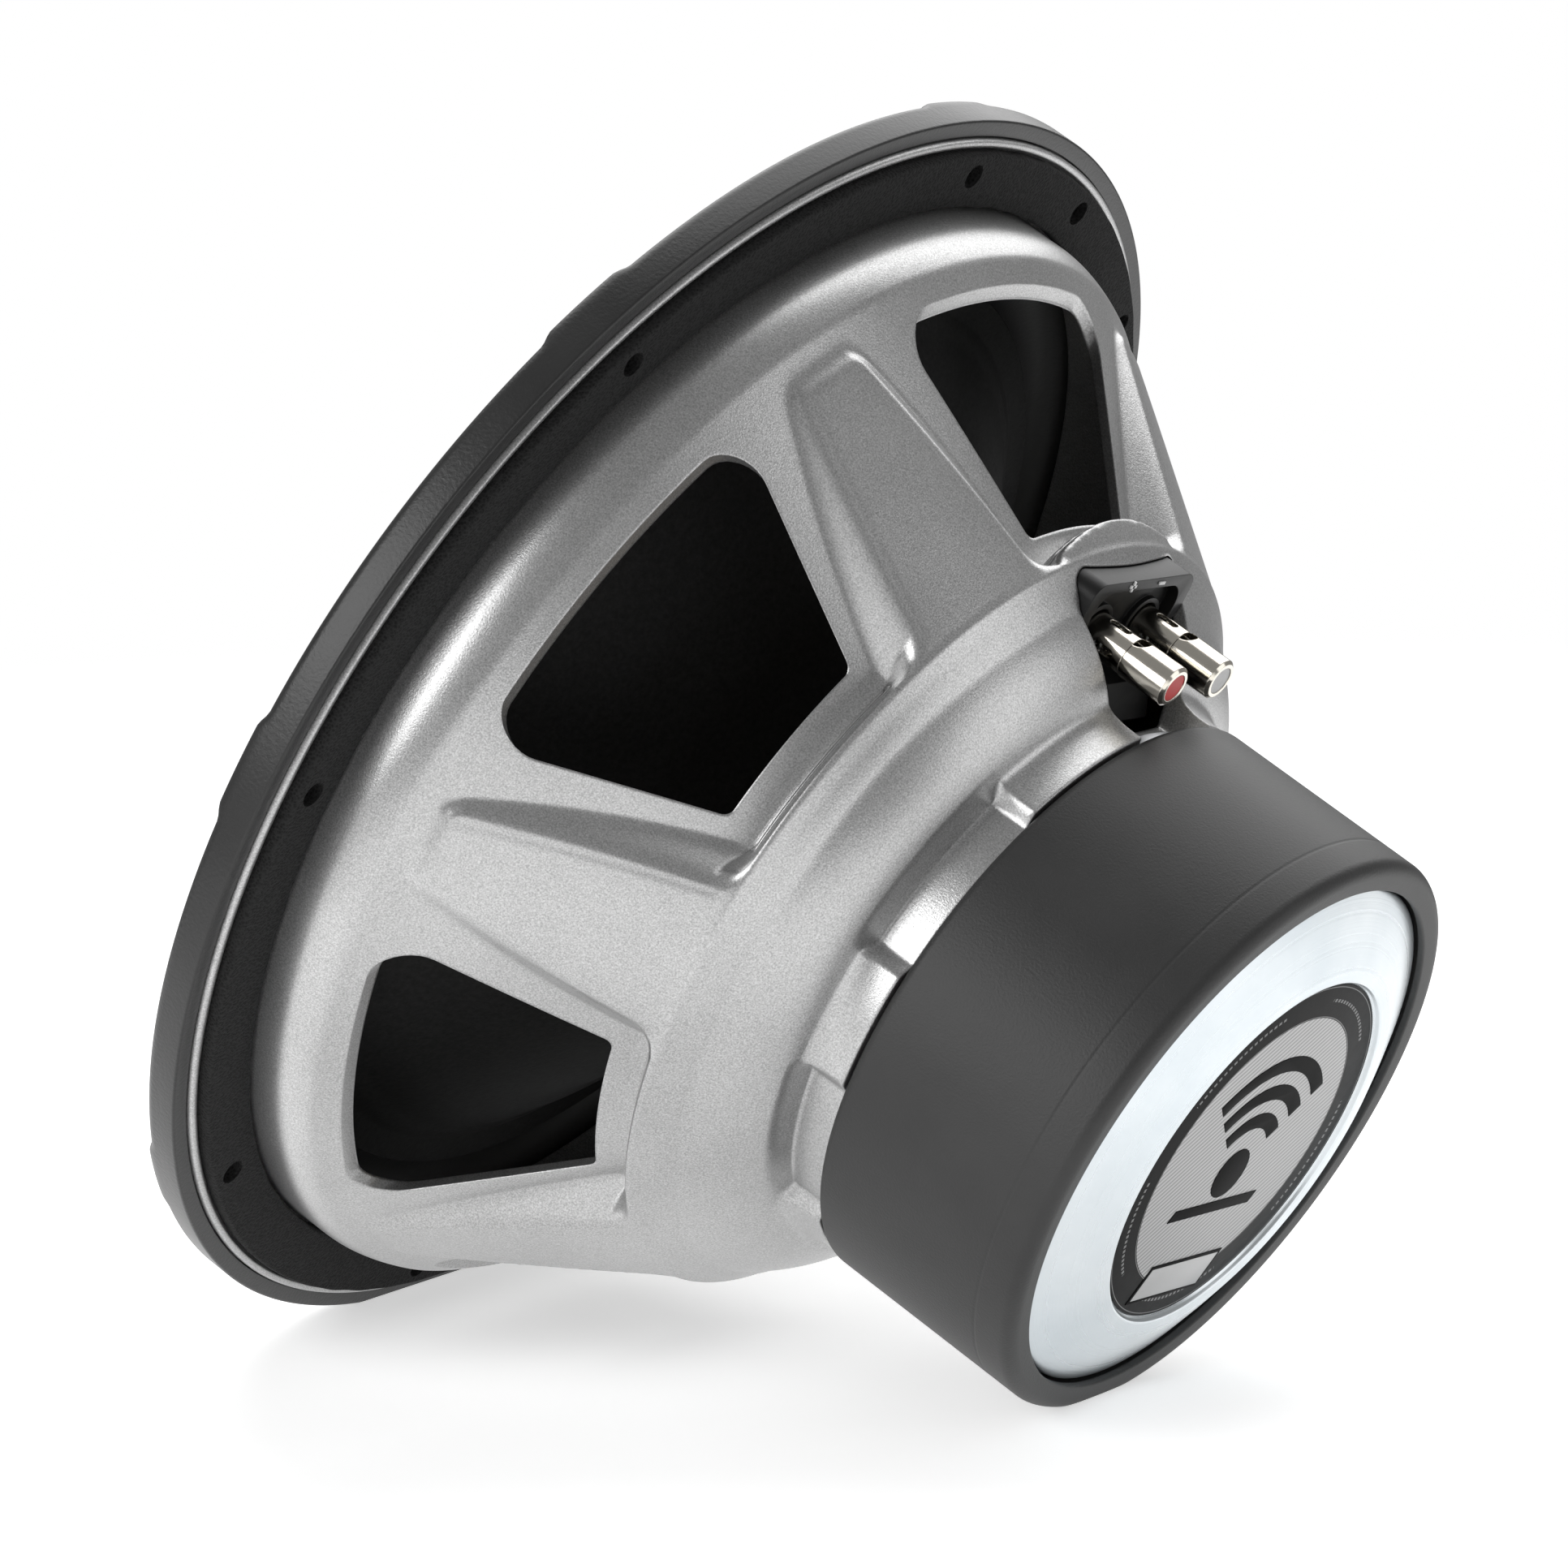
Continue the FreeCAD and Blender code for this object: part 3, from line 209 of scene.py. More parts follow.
def turn_points(points, azimuth):
    """Points turned about Z by an azimuth in degrees."""
    c, s = math.cos(math.radians(azimuth)), math.sin(math.radians(azimuth))
    return [(x * c - y * s, x * s + y * c, z) for x, y, z in points]


def join(items, name):
    """Merge several meshes into the first and rename it."""
    bm = bmesh.new()
    for item in items:
        bm.from_mesh(item.data)
    bm.to_mesh(items[0].data)
    bm.free()
    for item in items[1:]:
        bpy.data.objects.remove(item)
    items[0].name = name
    return items[0]


def cut(item, cutters, material, edge_angle=38.0):
    """Take the cutters out of a piece."""
    tool = join(cutters, "cutter")
    modifier = item.modifiers.new("cut", "BOOLEAN")
    modifier.operation = "DIFFERENCE"
    modifier.solver = "MANIFOLD"
    modifier.object = tool
    bpy.context.view_layer.update()
    apply_modifiers(item, material, edge_angle)
    bpy.data.objects.remove(tool)


def round_bar(name, radius, low, high, x, y, material, count=28):
    """An upright bar, used as a cutter."""
    ring = [
        (x + radius * math.cos(2 * math.pi * k / count), y + radius * math.sin(2 * math.pi * k / count))
        for k in range(count)
    ]
    return prism(name, ring, low, high, material)


def flange_bars(radius, low, high, azimuths, material):
    """Cutters on the screw circle, one at each azimuth."""
    bars = []
    for azimuth in azimuths:
        x, y, _ = turn_points([(SCREW_CIRCLE_RADIUS, 0.0, 0.0)], azimuth)[0]
        bars.append(round_bar("hole", radius, low, high, x, y, material))
    return bars


def at_terminals(outline):
    """An outline drawn along +X, turned to the terminals' side."""
    turned = turn_points([(x, y, 0.0) for x, y in outline], TERMINAL_AZIMUTH)
    return [(x, y) for x, y, _ in turned]


def box_outline(x, y, width, depth):
    """A rectangle centred on x, y."""
    half_width, half_depth = width / 2, depth / 2
    return [
        (x - half_width, y - half_depth),
        (x + half_width, y - half_depth),
        (x + half_width, y + half_depth),
        (x - half_width, y + half_depth),
    ]


def tube_faces(rings, sides=8):
    """Faces of a closed tube made of a number of rings of points."""
    faces = []
    for ring in range(rings - 1):
        base = ring * sides
        for k in range(sides):
            after = (k + 1) % sides
            faces.append((base + k, base + after, base + sides + after, base + sides + k))
    faces.append(tuple(range(sides)))
    faces.append(tuple(range((rings - 1) * sides, rings * sides)))
    return faces


def smooth(value, low, high):
    """0 below low, 1 above high, eased in between."""
    t = np.clip((value - low) / (high - low), 0.0, 1.0)
    return t * t * (3 - 2 * t)


# ---------------------------------------------------------------- material helpers


class Nodes:
    """A small builder for one node material."""

    def __init__(self, name):
        self.material = bpy.data.materials.new(name)
        self.material.use_nodes = True
        self.tree = self.material.node_tree
        self.shader = self.tree.nodes["Principled BSDF"]
        self.place = self.add("ShaderNodeTexCoord").outputs["Object"]

    def add(self, kind, **settings):
        node = self.tree.nodes.new(kind)
        for key, value in settings.items():
            setattr(node, key, value)
        return node

    def link(self, source, target):
        self.tree.links.new(source, target)

    def put(self, socket, value):
        if isinstance(value, bpy.types.NodeSocket):
            self.link(value, socket)
        else:
            socket.default_value = value

    def math(self, operation, a, b=0.0, c=0.0):
        node = self.add("ShaderNodeMath", operation=operation)
        for socket, value in zip(node.inputs, (a, b, c)):
            self.put(socket, value)
        return node.outputs[0]

    def noise(self, scale, detail=4.0, rough=0.55, where=None):
        node = self.add("ShaderNodeTexNoise")
        node.inputs["Scale"].default_value = scale
        node.inputs["Detail"].default_value = detail
        node.inputs["Roughness"].default_value = rough
        self.link(where or self.place, node.inputs["Vector"])
        return node.outputs["Fac"]

    def split(self):
        node = self.add("ShaderNodeSeparateXYZ")
        self.link(self.place, node.inputs[0])
        return node.outputs

    def radius(self):
        x, y, _ = self.split()
        squares = self.math("ADD", self.math("MULTIPLY", x, x), self.math("MULTIPLY", y, y))
        return self.math("SQRT", squares)

    def angle(self):
        x, y, _ = self.split()
        return self.math("ARCTAN2", y, x)

    def ramp(self, fac, stops):
        node = self.add("ShaderNodeValToRGB")
        ramp = node.color_ramp
        while len(ramp.elements) < len(stops):
            ramp.elements.new(0.5)
        for element, (position, shade) in zip(ramp.elements, stops):
            element.position = position
            element.color = (*shade, 1.0) if isinstance(shade, tuple) else (shade, shade, shade, 1.0)
        self.link(fac, node.inputs["Fac"])
        return node.outputs["Color"]

    def mix(self, fac, a, b):
        node = self.add("ShaderNodeMix", data_type="RGBA")
        self.put(node.inputs["Factor"], fac)
        colours = [socket for socket in node.inputs if socket.type == "RGBA"]
        for socket, value in zip(colours, (a, b)):
            self.put(socket, value if isinstance(value, bpy.types.NodeSocket) else (*value, 1.0))
        return next(socket for socket in node.outputs if socket.type == "RGBA")

    def bump(self, height, strength, distance):
        node = self.add("ShaderNodeBump")
        node.inputs["Strength"].default_value = strength
        node.inputs["Distance"].default_value = distance
        self.link(height, node.inputs["Height"])
        if self.shader.inputs["Normal"].is_linked:
            self.link(self.shader.inputs["Normal"].links[0].from_socket, node.inputs["Normal"])
        self.link(node.outputs["Normal"], self.shader.inputs["Normal"])

    def soft_edges(self, radius):
        node = self.add("ShaderNodeBevel")
        node.samples = 6
        node.inputs["Radius"].default_value = radius
        self.link(node.outputs["Normal"], self.shader.inputs["Normal"])

    def surface(self, **values):
        names = {
            "color": "Base Color",
            "metal": "Metallic",
            "rough": "Roughness",
            "ior": "IOR",
            "sheen": "Sheen Weight",
            "coat": "Coat Weight",
            "aniso": "Anisotropic",
            "specular": "Specular IOR Level",
        }
        for key, value in values.items():
            if key == "color" and not isinstance(value, bpy.types.NodeSocket):
                value = (*value, 1.0)
            self.put(self.shader.inputs[names[key]], value)


def paint():
    n = Nodes("silver_paint")
    flakes = n.noise(2600.0, 1.0)
    cloud = n.noise(26.0, 3.0)
    shade = n.ramp(n.math("ADD", n.math("MULTIPLY", flakes, 0.8), n.math("MULTIPLY", cloud, 0.2)),
                   [(0.32, 0.36), (0.68, 0.62)])
    n.surface(color=shade, metal=0.85, rough=n.math("ADD", 0.30, n.math("MULTIPLY", cloud, 0.06)))
    n.soft_edges(0.0008)
    n.bump(n.noise(2400.0, 1.0), 0.18, 0.0002)
    return n.material


def rubber(name, shade, rough, grain):
    n = Nodes(name)
    fine = n.noise(grain, 3.0)
    cloud = n.noise(40.0, 3.0)
    color = n.ramp(cloud, [(0.3, shade * 0.85), (0.7, shade * 1.15)])
    dull = n.math("ADD", rough - 0.04, n.math("MULTIPLY", cloud, 0.08))
    n.surface(color=color, rough=dull, specular=0.42)
    n.soft_edges(0.0003)
    n.bump(fine, 0.35, 0.00025)
    return n.material


def foam():
    n = Nodes("foam")
    cells = n.add("ShaderNodeTexVoronoi")
    cells.inputs["Scale"].default_value = 1400.0
    n.link(n.place, cells.inputs["Vector"])
    color = n.ramp(cells.outputs["Distance"], [(0.0, 0.006), (0.6, 0.022)])
    n.surface(color=color, rough=0.95, specular=0.2)
    n.bump(cells.outputs["Distance"], 0.7, 0.0004)
    return n.material


def zinc():
    n = Nodes("zinc_plate")
    r = n.radius()
    lines = n.add("ShaderNodeTexNoise", noise_dimensions="1D")
    lines.inputs["Scale"].default_value = 1500.0
    lines.inputs["Detail"].default_value = 3.0
    n.link(r, lines.inputs["W"])
    cloud = n.noise(30.0, 4.0)
    color = n.ramp(cloud, [(0.3, (0.60, 0.65, 0.68)), (0.7, (0.72, 0.76, 0.78))])
    brushed = n.math("MULTIPLY", lines.outputs["Fac"], 0.16)
    n.surface(color=color, metal=0.9, rough=n.math("ADD", 0.22, brushed))
    n.bump(lines.outputs["Fac"], 0.25, 0.0001)
    return n.material


def plated(name, color, rough):
    n = Nodes(name)
    cloud = n.noise(220.0, 4.0)
    shade = n.mix(cloud, tuple(c * 0.9 for c in color), color)
    n.surface(color=shade, metal=1.0, rough=n.math("ADD", rough, n.math("MULTIPLY", cloud, 0.1)))
    n.soft_edges(0.0003)
    n.bump(n.noise(3000.0, 2.0), 0.05, 0.0001)
    return n.material


def plastic(name, color, rough=0.42, specular=0.5):
    n = Nodes(name)
    cloud = n.noise(600.0, 4.0)
    shade = n.mix(cloud, tuple(c * 0.85 for c in color), tuple(min(1.0, c * 1.1) for c in color))
    n.surface(color=shade, rough=rough, specular=specular)
    n.soft_edges(0.00025)
    n.bump(cloud, 0.12, 0.0002)
    return n.material


def pulp():
    n = Nodes("cone_pulp")
    fibres = n.noise(700.0, 8.0, 0.7)
    color = n.ramp(fibres, [(0.3, 0.006), (0.7, 0.018)])
    n.surface(color=color, rough=0.8, specular=0.25)
    n.bump(fibres, 0.5, 0.0003)
    return n.material


def cloth():
    n = Nodes("spider_cloth")
    r, a = n.radius(), n.angle()
    weave = n.math("MULTIPLY", n.math("SINE", n.math("MULTIPLY", r, 9000.0)),
                   n.math("SINE", n.math("MULTIPLY", a, 700.0)))
    share = n.math("ADD", n.math("MULTIPLY", weave, 0.5), 0.5)
    color = n.ramp(share, [(0.2, (0.16, 0.10, 0.04)), (0.8, (0.36, 0.26, 0.12))])
    n.surface(color=color, rough=0.85)
    n.bump(weave, 0.4, 0.0002)
    return n.material


def winding():
    n = Nodes("winding")
    _, _, z = n.split()
    turns = n.math("SINE", n.math("MULTIPLY", z, 12000.0))
    share = n.math("ADD", n.math("MULTIPLY", turns, 0.5), 0.5)
    color = n.ramp(share, [(0.2, (0.25, 0.08, 0.03)), (0.8, (0.72, 0.32, 0.15))])
    n.surface(color=color, metal=0.9, rough=0.35)
    n.bump(turns, 0.5, 0.0002)
    return n.material


def braid():
    n = Nodes("tinsel_braid")
    weave = n.noise(2200.0, 2.0)
    color = n.ramp(weave, [(0.35, (0.35, 0.25, 0.16)), (0.65, (0.80, 0.72, 0.60))])
    n.surface(color=color, metal=0.8, rough=0.4)
    n.bump(weave, 0.6, 0.0003)
    return n.material


def label_film():
    """Black ring with fine dashes round a silver centre with fine lines."""
    n = Nodes("label_film")
    r, a = n.radius(), n.angle()
    x, y, _ = n.split()

    def band(low, high):
        inside = n.math("MULTIPLY", n.math("GREATER_THAN", r, low), n.math("LESS_THAN", r, high))
        return inside

    dash = n.math("GREATER_THAN", n.math("SINE", n.math("MULTIPLY", a, 150.0)), -0.2)
    group = n.math("GREATER_THAN", n.math("SINE", n.math("ADD", n.math("MULTIPLY", a, 5.0), 0.6)), -0.35)
    marks = n.math("MULTIPLY", n.math("MULTIPLY", dash, group), band(0.0392, 0.0400))
    edge = n.math("ADD", band(0.0352, 0.0354), band(0.0431, 0.0433))
    slant = n.math("ADD", n.math("MULTIPLY", x, 0.6), n.math("MULTIPLY", y, 0.8))
    lines = n.math("GREATER_THAN", n.math("SINE", n.math("MULTIPLY", slant, 4200.0)), 0.0)
    centre = n.mix(lines, (0.26, 0.26, 0.26), (0.42, 0.42, 0.42))
    printed = n.math("MINIMUM", n.math("ADD", marks, edge), 1.0)
    outer = n.mix(printed, (0.006, 0.006, 0.006), (0.20, 0.20, 0.20))
    is_ring = n.math("GREATER_THAN", r, 0.0350)
    color = n.mix(is_ring, centre, outer)
    n.surface(color=color, metal=n.math("MULTIPLY", n.math("SUBTRACT", 1.0, is_ring), 0.75),
              rough=n.math("ADD", 0.38, n.math("MULTIPLY", n.noise(500.0), 0.08)),
              specular=n.math("SUBTRACT", 0.2, n.math("MULTIPLY", is_ring, 0.15)))
    n.bump(lines, 0.05, 0.0001)
    return n.material


PAINT = paint()
ZINC = zinc()
BOOT = rubber("boot_rubber", 0.028, 0.5, 1700.0)
TRIM = rubber("trim_rubber", 0.020, 0.36, 1100.0)
SURROUND = rubber("surround_foam", 0.018, 0.5, 900.0)
FOAM = foam()
PULP = pulp()
CLOTH = cloth()
LABEL = label_film()
BLOCK = plastic("black_plastic", (0.008, 0.008, 0.008), 0.42, 0.3)
NICKEL = plated("nickel", (0.76, 0.72, 0.64), 0.10)
BRASS = plated("brass", (0.72, 0.55, 0.28), 0.2)
STEEL = plated("bright_steel", (0.62, 0.63, 0.65), 0.25)
ALUMINIUM = plated("plain_aluminium", (0.75, 0.76, 0.77), 0.3)
MAGNET = plastic("ferrite", (0.03, 0.03, 0.032), 0.6)
RED = plastic("red_insert", (0.55, 0.02, 0.02))
GREY = plastic("grey_insert", (0.55, 0.55, 0.55))
CARD = plastic("black_card", (0.015, 0.015, 0.015), 0.8)
INK = plastic("black_ink", (0.004, 0.004, 0.004), 0.6, 0.06)
PLATE = plated("plate_film", (0.42, 0.42, 0.42), 0.3)
MARK = plastic("mark_paint", (0.65, 0.65, 0.65), 0.4)
BRAID = braid()


# ---------------------------------------------------------------- basket


def basket_envelope():
    """(radius, height) rows of the basket's outside, from the flange to the base bore."""
    rows = [(136.4, 173.1), (145.0, 173.1), (154.9, 173.1), (155.5, 172.6), (155.6, 171.8)]
    rows += [(155.6, 170.2), (155.3, 169.7), (154.6, 169.5), (153.9, 169.7), (153.6, 170.2)]
    rows += [(153.3, 170.6), (152.6, 170.9), (152.0, 170.9), (148.0, 170.9), (144.0, 170.9)]
    rows += [(140.4, 170.9), (139.4, 170.5), (139.0, 169.6), (139.0, 166.0), (139.0, 163.0)]
    shoulder, shoulder_bend = (139.0, 161.0), (139.0, 154.5)
    spoke_top, spoke_base = (132.8, 145.0), (99.5, 94.2)
    for step in range(0, 17):
        share = step / 16
        weights = (1 - share) ** 2, 2 * share * (1 - share), share**2
        corners = zip(weights, (shoulder, shoulder_bend, spoke_top))
        rows.append(tuple(np.sum([weight * np.array(corner) for weight, corner in corners], axis=0)))
    top, low = rows[-1], spoke_base
    for step in range(1, 77):
        rows.append((top[0] + (low[0] - top[0]) * step / 76, top[1] + (low[1] - top[1]) * step / 76))
    rows += [(98.9, 93.3), (98.7, 92.7), (98.3, 92.1), (97.7, 91.7), (97.0, 91.0), (96.2, 90.4)]
    rows += [(95.2, 89.4), (93.8, 88.0), (92.4, 86.8), (91.7, 86.3), (91.2, 85.9), (90.6, 85.2)]
    start, end, sag = rows[-1], (74.0, 72.0), 1.6
    for step in range(1, 25):
        share = step / 24
        bulge = sag * 4 * share * (1 - share)
        radius = start[0] + (end[0] - start[0]) * share + bulge * 0.62
        rows.append((radius, start[1] + (end[1] - start[1]) * share - bulge * 0.78))
    rows += [(73.5, 71.5), (73.1, 70.9), (72.8, 70.3), (72.5, 69.6), (72.3, 68.8), (72.1, 67.8)]
    rows += [(71.9, 66.4), (71.8, 65.0), (71.8, 63.4), (71.8, 62.2), (71.5, 61.9), (69.0, 61.9)]
    rows += [(67.2, 61.9), (66.9, 62.2), (66.9, 66.7), (66.6, 67.0)]
    rows += [(62.0, 67.0), (37.4, 67.0), (37.0, 67.4)]
    return rows


def window_cone(height):
    """Radius of the sunken surface that carries the windows."""
    return 96.4 + (height - 105.3) * (132.6 - 96.4) / (147.1 - 105.3)


def sink(azimuth, radius, height):
    """Depth of the recess round the nearest window below the basket's outside."""
    off = abs((azimuth - TERMINAL_AZIMUTH + 30.0) % 60.0 - 30.0)
    mouth = 19.5 + (height - 92.4) * 7.0 / 52.7
    floor = 14.2 + (height - 99.4) * 11.0 / 47.8
    side = np.clip((mouth - off) / (mouth - floor), 0.0, 1.0)
    nose = smooth(height, 142.0, 149.0)
    side = 1.0 - (1.0 - side) * (1.0 - nose)
    side = 0.5 * side + 0.5 * side * side * (3 - 2 * side)
    lower = np.clip((height - 93.6) / (99.0 - 93.6), 0.0, 1.0)
    depth = np.maximum(radius - window_cone(height), 0.0)
    depth[(height > 160.0) | (height < 93.6)] = 0.0
    lip = 0.2 * smooth(mouth + 1.4 - off, 0.0, 0.7)
    lip = lip * smooth(height, 95.0, 97.0) * smooth(146.0 - height, 0.0, 4.0)
    depth = np.maximum(depth * side * lower, lip)
    return depth * (1.0 - hood(azimuth, radius, height))


def hood(azimuth, radius, height):
    """Arched seat over the terminal block that fills the foot of its window recess."""
    away = (azimuth - TERMINAL_AZIMUTH + 180.0) % 360.0 - 180.0
    if abs(away) > 30.0:
        return np.zeros_like(radius)
    across = np.abs(96.0 * math.radians(away))
    arch = 103.0 - 4.0 * (across / 24.0) ** 2
    return smooth(26.0 - across, 0.0, 5.0) * smooth(arch - height, 0.0, 5.0)


def make_basket():
    rows = np.array(basket_envelope(), float)
    along = np.gradient(rows, axis=0)
    normal = np.stack([-along[:, 1], along[:, 0]], 1)
    normal /= np.linalg.norm(normal, axis=1)[:, None]
    first = next(i for i, (r, z) in enumerate(rows) if z < 162.0 and r > 130.0)
    last = next(i for i, (r, z) in enumerate(rows) if r < 74.5 and z < 74.0)
    columns = 960
    points = []
    for column in range(columns):
        azimuth = 360.0 * column / columns
        turn = math.radians(azimuth)
        radius, height = rows[:, 0].copy(), rows[:, 1].copy()
        depth = sink(azimuth, radius, height)
        depth[:first] = 0.0
        radius = radius - depth
        off = abs((azimuth - TERMINAL_AZIMUTH + 30.0) % 60.0 - 30.0)
        if abs((azimuth - TERMINAL_AZIMUTH + 180.0) % 360.0 - 180.0) > 40.0:
            pocket = float(smooth(np.array(19.2 - off), 0.0, 3.4))
            wall = (rows[:, 0] < 76.0) & (rows[:, 0] > 68.8) & (rows[:, 1] < 73.5)
            sunk = pocket * smooth(73.4 - rows[wall, 1], 0.0, 2.2)
            radius[wall] = radius[wall] * (1 - sunk) + np.minimum(radius[wall], 68.8) * sunk
        inner_r = radius[first:last] - np.abs(normal[first:last, 0]) * 3.0
        inner_z = height[first:last] + np.abs(normal[first:last, 1]) * 3.0
        ring_r = np.concatenate([radius, [37.0, 37.4, 62.0, 66.5], inner_r[::-1], [136.4]])
        ring_z = np.concatenate([height, [69.6, 70.0, 70.0, 72.5], inner_z[::-1], [163.0]])
        points.append(np.stack([ring_r * math.cos(turn), ring_r * math.sin(turn), ring_z], 1))
    count = len(points[0])
    shell = new_object("basket_shell", np.concatenate(points), grid_faces(columns, count), PAINT)
    top_half = 132.6 * math.sin(math.radians(19.3))
    low_half = 96.4 * math.sin(math.radians(12.2))
    outline = rounded(
        [
            (-top_half, 147.0, 6.5),
            (top_half, 147.0, 6.5),
            (low_half, 105.0, 3.2),
            (-low_half, 105.0, 3.2),
        ],
        10,
    )
    cutters = []
    for azimuth in WINDOW_AZIMUTHS:
        near = [(84.0, y, z) for y, z in outline]
        far = [(170.0, y, z) for y, z in outline]
        points = turn_points(near + far, azimuth)
        n = len(outline)
        faces = [tuple(range(n)), tuple(range(n, 2 * n))]
        faces += [(i, (i + 1) % n, n + (i + 1) % n, n + i) for i in range(n)]
        cutters.append(new_object("window", points, faces, PAINT))
    cutters += flange_bars(SCREW_HOLE_RADIUS, 160.0, 180.0, SCREW_AZIMUTHS + [KEY_HOLE_AZIMUTH], PAINT)
    seat = block_outline(0.35)
    cutters.append(prism("seat", seat, 60.0, 96.0, PAINT))
    cut(shell, cutters, PAINT)
    ledge = lathe(
        "ledge",
        [(80.0, 98.5, 0.8), (91.6, 98.5, 0), (94.0, 104.0, 0), (91.6, 103.5, 0.4), (91.6, 101.5, 0.4),
         (80.0, 101.5, 0.8), (72.0, 88.0, 1.0), (74.0, 87.0, 1.0)],
        PAINT,
    )
    whole = join([shell, ledge], "basket_visual")
    finish_mesh(whole.data, PAINT, 35.0)
    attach(whole, FRAME)
    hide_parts("basket")


def block_outline(grow=0.0):
    """Outline of the terminal block: arched outer end, tapering foot; towards -Y."""
    corners = [
        (95.3 + grow, -22.0 - grow, 7.5),
        (95.3 + grow, 22.0 + grow, 7.5),
        (87.0, 22.0 + grow, 2.0),
        (64.2 - grow, 12.5 + grow, 1.5),
        (64.2 - grow, -12.5 - grow, 1.5),
        (87.0, -22.0 - grow, 2.0),
    ]
    return at_terminals(rounded(corners, 8))


# ---------------------------------------------------------------- other pieces


def make_boot():
    wobble = random.Random(4)
    phases = [(wobble.uniform(0, 6.28), k) for k in (2, 3, 5, 9)]

    def sag(azimuth, radius, height):
        turn = math.radians(azimuth)
        swell = sum(math.sin(k * turn + phase) for phase, k in phases) * 0.035
        middle = smooth(radius, 71.0, 72.4)
        return radius + middle * swell, height

    corners = [
        (65.6, 4.9, 0.5), (72.5, 4.6, 6.2), (72.5, 14.4, 0.4), (72.4, 15.0, 0.3), (72.5, 15.6, 0.4),
        (72.5, 40.0, 0), (72.5, 61.5, 5.2), (66.8, 61.5, 0.4), (66.8, 6.8, 0), (65.6, 6.8, 0.3),
    ]
    boot = lathe("motor_boot_visual", corners, BOOT, 360, 9, 60.0, sag)
    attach(boot, FRAME)
    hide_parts("motor_boot")


def make_yoke():
    corners = [
        (0.0, 1.6, 0), (43.9, 1.6, 0.3), (44.5, 0.9, 0.3), (44.9, 0.15, 0.5), (45.4, 0.0, 0.3),
        (48.2, 0.0, 0.5), (56.0, 3.2, 0), (65.2, 7.2, 1.2), (65.2, 19.0, 0.8), (30.6, 19.0, 0),
        (30.6, 67.0, 0.6), (0.0, 67.0, 0),
    ]
    yoke = lathe("t_yoke_visual", corners, ZINC, 320, 6, 50.0)
    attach(yoke, FRAME)
    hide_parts("t_yoke")


def make_label():
    corners = [(0.0, 1.22, 0), (43.9, 1.22, 0.12), (43.9, 1.6, 0), (0.0, 1.6, 0)]
    disc = lathe("label_disc", corners, LABEL, 256, 3)
    outlines = [ring_sector(0.0, 6.5, 180.0)]
    outlines += [ring_sector(radius, radius + 4.0, 48.0) for radius in (12.0, 19.5, 27.0)]
    outlines.append([(-19.0, 16.5), (-17.5, 13.5), (19.0, 13.5), (17.5, 16.5)])
    shapes = [prism("ink", outline, 1.08, LABEL_LEVEL, INK, 0.04) for outline in outlines]
    emblem = join(shapes, "emblem")
    finish_mesh(emblem.data, INK, 30.0)
    outline = [(-17.6, 38.6), (-13.9, 29.0), (17.6, 29.0), (13.9, 38.6)]
    border = prism("plate_border", outline, 1.06, LABEL_LEVEL, INK, 0.05)
    outline = [(-16.2, 37.8), (-13.2, 29.8), (16.2, 29.8), (13.2, 37.8)]
    plate = prism("plate", outline, 0.98, LABEL_LEVEL, PLATE, 0.06)
    for item in (disc, emblem, border, plate):
        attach(item, FRAME)
        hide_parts("back_label")


def ring_sector(inner, outer, half):
    """Outline of a sector of a ring that opens towards the terminals."""
    outline = []
    for k in range(25):
        turn = math.radians(-90.0 - half + 2 * half * k / 24)
        outline.append((outer * math.cos(turn), 6.0 + outer * math.sin(turn)))
    if inner <= 0:
        return outline[:-1]
    for k in range(25):
        turn = math.radians(-90.0 + half - 2 * half * k / 24)
        outline.append((inner * math.cos(turn), 6.0 + inner * math.sin(turn)))
    return outline


def make_gasket():
    rough = random.Random(8)
    wave = [(rough.uniform(0, 6.28), rough.randint(20, 90)) for _ in range(6)]

    def torn(azimuth, radius, height):
        turn = math.radians(azimuth)
        shift = sum(math.sin(k * turn + phase) for phase, k in wave) * 0.06
        return radius + np.where(radius < 141.0, shift, -shift * 0.5), height

    gasket = lathe(
        "mounting_gasket_visual",
        [(139.9, 167.0, 0.7), (153.1, 167.0, 0.7), (153.1, 170.9, 0.2), (139.9, 170.9, 0.2)],
        FOAM, 720, 4, 50.0, torn,
    )
    cut(gasket, flange_bars(3.0, 160.0, 176.0, SCREW_AZIMUTHS + [KEY_HOLE_AZIMUTH], FOAM), FOAM, 50.0)
    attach(gasket, FRAME)
    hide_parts("mounting_gasket")


def make_trim():
    def pads(azimuth, radius, height):
        off = abs((azimuth - TERMINAL_AZIMUTH + 22.5) % 45.0 - 22.5)
        rise = float(smooth(np.array(5.0 - off), 0.0, 1.6))
        top = smooth(height, 176.5, 179.0) * smooth(radius, 143.5, 147.0)
        return radius, height + 1.2 * rise * top

    corners = [
        (155.9, 170.9, 0.3), (160.0, 170.9, 0.6), (160.0, 174.0, 0), (160.0, 180.0, 2.8),
        (147.4, 180.0, 2.0), (143.4, 177.0, 1.0), (143.4, 174.6, 0.2), (145.2, 174.6, 0),
        (145.2, 173.1, 0), (155.9, 173.1, 0),
    ]
    trim = lathe("trim_ring_visual", corners, TRIM, 720, 7, 60.0, pads)
    cut(trim, flange_bars(5.2, 178.4, 184.0, SCREW_AZIMUTHS, TRIM), TRIM, 50.0)
    cut(trim, flange_bars(SCREW_HOLE_RADIUS, 168.0, 184.0, SCREW_AZIMUTHS, TRIM), TRIM, 50.0)
    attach(trim, FRAME)
    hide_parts("trim_ring")


